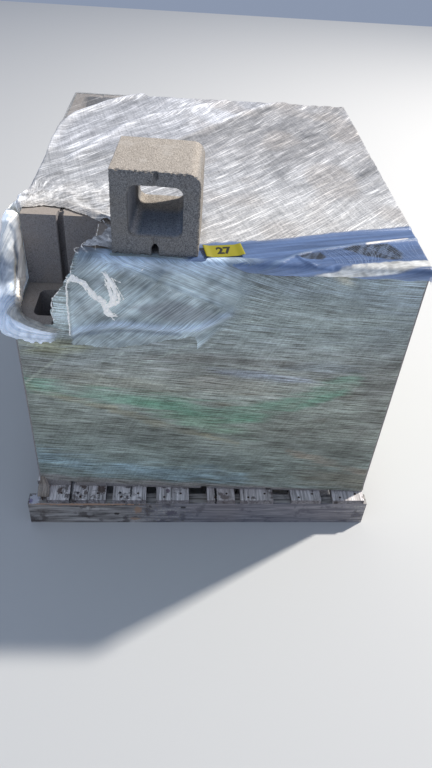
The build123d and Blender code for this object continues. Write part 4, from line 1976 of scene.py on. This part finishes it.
woodLooks = {
    "boards": {
        "dark": (0.42, 0.385, 0.37),
        "light": (1.0, 0.94, 0.92),
        "crack": (0.09, 0.08, 0.078),
        "stain": (0.10, 0.075, 0.07),
        "warm": (0.55, 0.42, 0.36),
        "sideTone": (0.36, 0.36, 0.38),
        # middle, half sizes, colour and strength, in metres
        "marks": (
            ((-0.442, -0.538, 0.1), (0.024, 0.016, 1.0), (0.30, 0.13, 0.085), 0.9),
            ((-0.419, -0.573, 0.1), (0.008, 0.014, 1.0), (0.13, 0.09, 0.075), 0.9),
            ((-0.400, -0.560, 0.1), (0.006, 0.020, 1.0), (0.16, 0.14, 0.13), 0.7),
            ((-0.350, -0.555, 0.1), (0.012, 0.014, 1.0), (0.12, 0.085, 0.07), 0.9),
            ((-0.342, -0.582, 0.1), (0.006, 0.010, 1.0), (0.13, 0.09, 0.075), 0.8),
            ((-0.296, -0.566, 0.1), (0.014, 0.022, 1.0), (0.12, 0.085, 0.07), 0.9),
            ((-0.335, -0.580, 0.1), (0.0013, 0.050, 1.0), (0.05, 0.045, 0.045), 0.9),
            ((-0.301, -0.597, 0.1), (0.0014, 0.016, 1.0), (0.04, 0.035, 0.035), 1.0),
            ((-0.364, -0.582, 0.1), (0.0045, 0.0045, 1.0), (0.05, 0.04, 0.05), 0.9),
            ((-0.241, -0.581, 0.1), (0.005, 0.005, 1.0), (0.04, 0.035, 0.035), 1.0),
            ((-0.208, -0.573, 0.1), (0.004, 0.030, 1.0), (0.05, 0.045, 0.045), 0.9),
            ((-0.216, -0.560, 0.1), (0.014, 0.004, 1.0), (0.06, 0.05, 0.05), 0.8),
            ((-0.099, -0.574, 0.1), (0.007, 0.009, 1.0), (0.13, 0.08, 0.12), 0.8),
            ((-0.087, -0.579, 0.1), (0.0012, 0.040, 1.0), (0.09, 0.08, 0.08), 0.8),
            ((0.045, -0.585, 0.1), (0.0042, 0.040, 1.0), (0.03, 0.026, 0.026), 1.0),
            ((0.130, -0.580, 0.1), (0.0014, 0.040, 1.0), (0.06, 0.05, 0.05), 0.9),
        ),
        "ring": 110.0,
        "run": 7.0,
        "stainScale": 26.0,
        "stainAmount": 0.85,
    },
    "stringers": {
        "dark": (0.105, 0.097, 0.092),
        "light": (0.54, 0.508, 0.48),
        "crack": (0.07, 0.06, 0.055),
        "stain": (0.09, 0.075, 0.07),
        "warm": (0.40, 0.32, 0.25),
        "sideTone": (1.0, 1.0, 1.0),
        "marks": (
            ((0.20, -0.6095, 0.0445), (0.377, 0.004, 0.20), (0.205, 0.205, 0.255), 0.50),
            # painted highlight: the next four marks are orange light along the upper edge and on two patches
            # below it
            ((-0.340, -0.6095, 0.085), (0.165, 0.003, 0.0045), (0.50, 0.31, 0.21), 0.9),
            ((-0.475, -0.6095, 0.086), (0.030, 0.003, 0.0035), (0.50, 0.33, 0.24), 0.9),
            ((-0.188, -0.6095, 0.060), (0.012, 0.004, 0.018), (0.42, 0.27, 0.18), 0.8),
            ((-0.197, -0.6095, 0.017), (0.016, 0.004, 0.006), (0.44, 0.30, 0.21), 0.8),
            ((-0.251, -0.6095, 0.042), (0.010, 0.004, 0.006), (0.06, 0.052, 0.048), 0.95),
            ((-0.052, -0.6095, 0.071), (0.009, 0.004, 0.005), (0.07, 0.065, 0.065), 0.95),
            ((-0.089, -0.6095, 0.047), (0.020, 0.004, 0.011), (0.12, 0.105, 0.135), 0.7),
            ((-0.150, -0.6095, 0.075), (0.006, 0.004, 0.006), (0.09, 0.075, 0.075), 0.8),
            ((-0.490, -0.595, 0.089), (0.016, 0.026, 0.004), (0.68, 0.68, 0.74), 0.85),
            ((-0.500, -0.600, 0.089), (0.006, 0.008, 0.004), (0.22, 0.18, 0.34), 0.8),
        ),
        "ring": 120.0,
        "run": 7.0,
        "stainScale": 24.0,
        "stainAmount": 0.75,
    },
}


def copyNode(source, name):
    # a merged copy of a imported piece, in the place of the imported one
    mesh = nodes[source].data.copy()
    mesh.transform(nodes[source].matrix_world)
    obj = bpy.data.objects.new(name, mesh)
    bpy.context.scene.collection.objects.link(obj)
    startEdit(obj)
    bpy.ops.mesh.select_all(action="SELECT")
    bpy.ops.mesh.remove_doubles(threshold=0.00002)
    bpy.ops.mesh.dissolve_limited(angle_limit=math.radians(2))
    endEdit()
    return obj


def wornCopy(source, name):
    # the same solid with its sharp edges worn round
    obj = copyNode(source, name)
    sharp = math.radians(wornPieces["sharpDegrees"])
    width = wornPieces["edge"]
    applyModifier(obj, "BEVEL", width=width, segments=2, limit_method="ANGLE", angle_limit=sharp)
    makeActive(obj)
    bpy.ops.object.shade_smooth_by_angle(angle=math.radians(wornPieces["smoothDegrees"]))
    return obj


sampleBlock = {
    "size": 0.194,
    "bullnose": 0.028,
    "middle": (0.344, 0.1093),
    "height": 0.7775,
    "turnDegrees": 3.0,
    "voxel": 0.0022,
    "chip": 0.0062,
    "chipReach": 0.0075,
    "chipDeep": 0.7,
    # the ragged line of the chips: a start, then scale and strength of its noises
    "bite": 0.22,
    "biteNoises": ((150, 1.5), (390, 1.2)),
    # scale and height of the face's unevenness
    "grit": ((45, 0.0005), (330, 0.00035)),
    # how much each side of the front face is chipped
    "chipTop": 1.0,
    "chipRight": 0.75,
    "chipLeft": 0.35,
    "chipFoot": 0.55,
    # the core narrows towards the back, as it came out of its mould
    "coreMiddle": 0.099,
    "coreReach": 0.064,
    "coreTaper": 0.10,
    "footTaper": 0.25,
    "ceilingDrop": 0.030,
    "tones": {
        "plain": (1, 1, 1),
        "core": (0.66, 0.82, 1.12),
        "coreWallLit": (1.8, 1.85, 1.95),
        "rightSideLit": (1.28, 1.18, 1.06),
        "mark": (0.30, 0.30, 0.32),
    },
    # the dark mark over the core, a dent painted with shade: x and z of its middle, its full and its outer
    # half width, and how many times as high as wide it is
    "mark": (0.002, 0.185),
    "markHalf": (0.003, 0.0075),
    "markTall": 1.8,
}


def inCore(x, z):
    reach = sampleBlock["coreReach"]
    return abs(x) < reach and abs(z - sampleBlock["coreMiddle"]) < reach


def sampleTint(x, y, z):
    # painted light and shade: the core is in painted bluish shade, its left wall painted paler as sunlit,
    # the right side painted lighter as sunlit, and the dent over the core painted dark as shade
    tones = sampleBlock["tones"]
    plain = Vector(tones["plain"])
    half = sampleBlock["size"] / 2
    if inCore(x, z):
        shade = smooth(-half, -half + 0.02, y) * smooth(0.040, 0.005, y)
        deep = mixTone(Vector(tones["core"]), tones["coreWallLit"], smooth(-0.035, -0.055, x))
        return mixTone(plain, deep, shade)
    markX, markZ = sampleBlock["mark"]
    inner, outer = sampleBlock["markHalf"]
    mark = math.hypot(x - markX, (z - markZ) / sampleBlock["markTall"])
    marked = smooth(outer, inner, mark) * smooth(-half + 0.006, -half + 0.002, y)
    tone = mixTone(plain, tones["rightSideLit"], smooth(half - 0.006, half - 0.001, x))
    return mixTone(tone, tones["mark"], marked)


def narrowCore(point):
    # moves a point of the core's walls: inward towards the back, and the ceiling down at the right
    half = sampleBlock["size"] / 2
    deep = (point.y + half) / (2 * half)
    up = point.z - sampleBlock["coreMiddle"]
    taper = sampleBlock["footTaper"] if up < 0 else sampleBlock["coreTaper"]
    if up > 0:
        up -= sampleBlock["ceilingDrop"] * deep * deep * smooth(-0.035, 0.055, point.x)
    point.x *= 1 - sampleBlock["coreTaper"] * deep
    point.z = sampleBlock["coreMiddle"] + up * (1 - taper * deep)


def chipMove(point):
    # how far the chipped edges of the front face pull a point in
    half = sampleBlock["size"] / 2
    r = sampleBlock["bullnose"]
    x, y, z = point
    sides = (
        (half - x, sampleBlock["chipRight"], Vector((-1, 0, 0))),
        (half + x, sampleBlock["chipLeft"], Vector((1, 0, 0))),
        (2 * half - z, sampleBlock["chipTop"], Vector((0, 0, -1))),
        (z, sampleBlock["chipFoot"], Vector((0, 0, 1))),
    )
    gap, weight, inward = min(sides, key=lambda side: side[0])
    if x > half - r and z > 2 * half - r:
        gap = r - math.hypot(x - half + r, z - 2 * half + r)
        inward = Vector((-1, 0, -1)).normalized()
    bite = min(1.0, max(0.0, sampleBlock["bite"] + noiseSum(point, sampleBlock["biteNoises"])))
    near = max(0.0, 1 - math.hypot(gap, y + half) / sampleBlock["chipReach"])
    heading = (inward + Vector((0, sampleBlock["chipDeep"], 0))).normalized()
    return heading * weight * sampleBlock["chip"] * bite * near


def addSampleBlock(material):
    obj = copyNode("sample_block", "sampleBlock")
    place = (
        loadPlace
        @ Matrix.Translation((*sampleBlock["middle"], sampleBlock["height"]))
        @ Matrix.Rotation(-math.radians(sampleBlock["turnDegrees"]), 4, "Z")
    )
    obj.data.transform(place.inverted())
    applyModifier(obj, "REMESH", mode="VOXEL", voxel_size=sampleBlock["voxel"])
    tint = obj.data.attributes.new("tint", "FLOAT_COLOR", "POINT")
    for vertex in obj.data.vertices:
        tint.data[vertex.index].color = (*sampleTint(*vertex.co), 1)
        if inCore(vertex.co.x, vertex.co.z):
            narrowCore(vertex.co)
    normals = [vertex.normal.copy() for vertex in obj.data.vertices]
    for vertex, normal in zip(obj.data.vertices, normals):
        seated = smooth(0.0, 0.004, vertex.co.z)
        push = normal * noiseSum(vertex.co, sampleBlock["grit"]) * seated
        vertex.co += chipMove(vertex.co) + push
    obj.data.transform(place)
    obj.data.shade_smooth()
    finishPiece(obj, material, "concrete", "sample_block")


wornPieces = {
    "edge": 0.0016,
    "sharpDegrees": 50,
    "smoothDegrees": 20,
    "rows": ("blocks_layer4_row2", "blocks_layer4_row1", "blocks_layer3_row1"),
}


def dressNodes():
    concrete = makeConcrete("pressedConcrete", concreteLooks["stacked"])
    boards = makeWood("deckWood", 1, woodLooks["boards"])
    stringers = makeWood("stringerWood", 0, woodLooks["stringers"])
    nails = makeNailSteel()
    for name, node in nodes.items():
        if name.startswith("deck_board"):
            finishPiece(wornCopy(name, name.replace("deck_b", "wornB")), boards, "pallet_wood", name)
        elif name.startswith("stringer"):
            finishPiece(wornCopy(name, "worn" + name.title()), stringers, "pallet_wood", name)
        elif name in wornPieces["rows"]:
            finishPiece(wornCopy(name, name.replace("blocks", "wornBlocks")), concrete, "concrete", name)
        elif name.startswith("blocks") or name == "deck_nails":
            node.data.materials.clear()
            node.data.materials.append(nails if name == "deck_nails" else concrete)
    addSampleBlock(makeConcrete("sampleConcrete", concreteLooks["sample"]))


# the noise that tears the films' edges starts from the clock unless it is given a start
noise.seed_set(1)
addCamera()
addStudio()
print("camera and studio ready")
dressNodes()
print("packed pieces dressed")
wallMaterial = makeFilm("wallFilm", filmLooks["front"])
addFrontFilm(wallMaterial)
addSideFilm(wallMaterial)
addTopFilm(makeFilm("roofFilm", filmLooks["top"]))
print("film on the walls and the top")
addTopStrip(makeFilm("stripFilm", filmLooks["strip"]))
addFrontFlap(makeFilm("flapFilm", filmLooks["flap"]))
addCornerFilm(makeFilm("curtainFilm", filmLooks["curtain"]))
addTail(wallMaterial)
addStrands(makeWhiteFilm())
addThreads(makeThreadFilm())
print("loose film and strands")
addLabel(makePaper(), makeInk())
print("label")
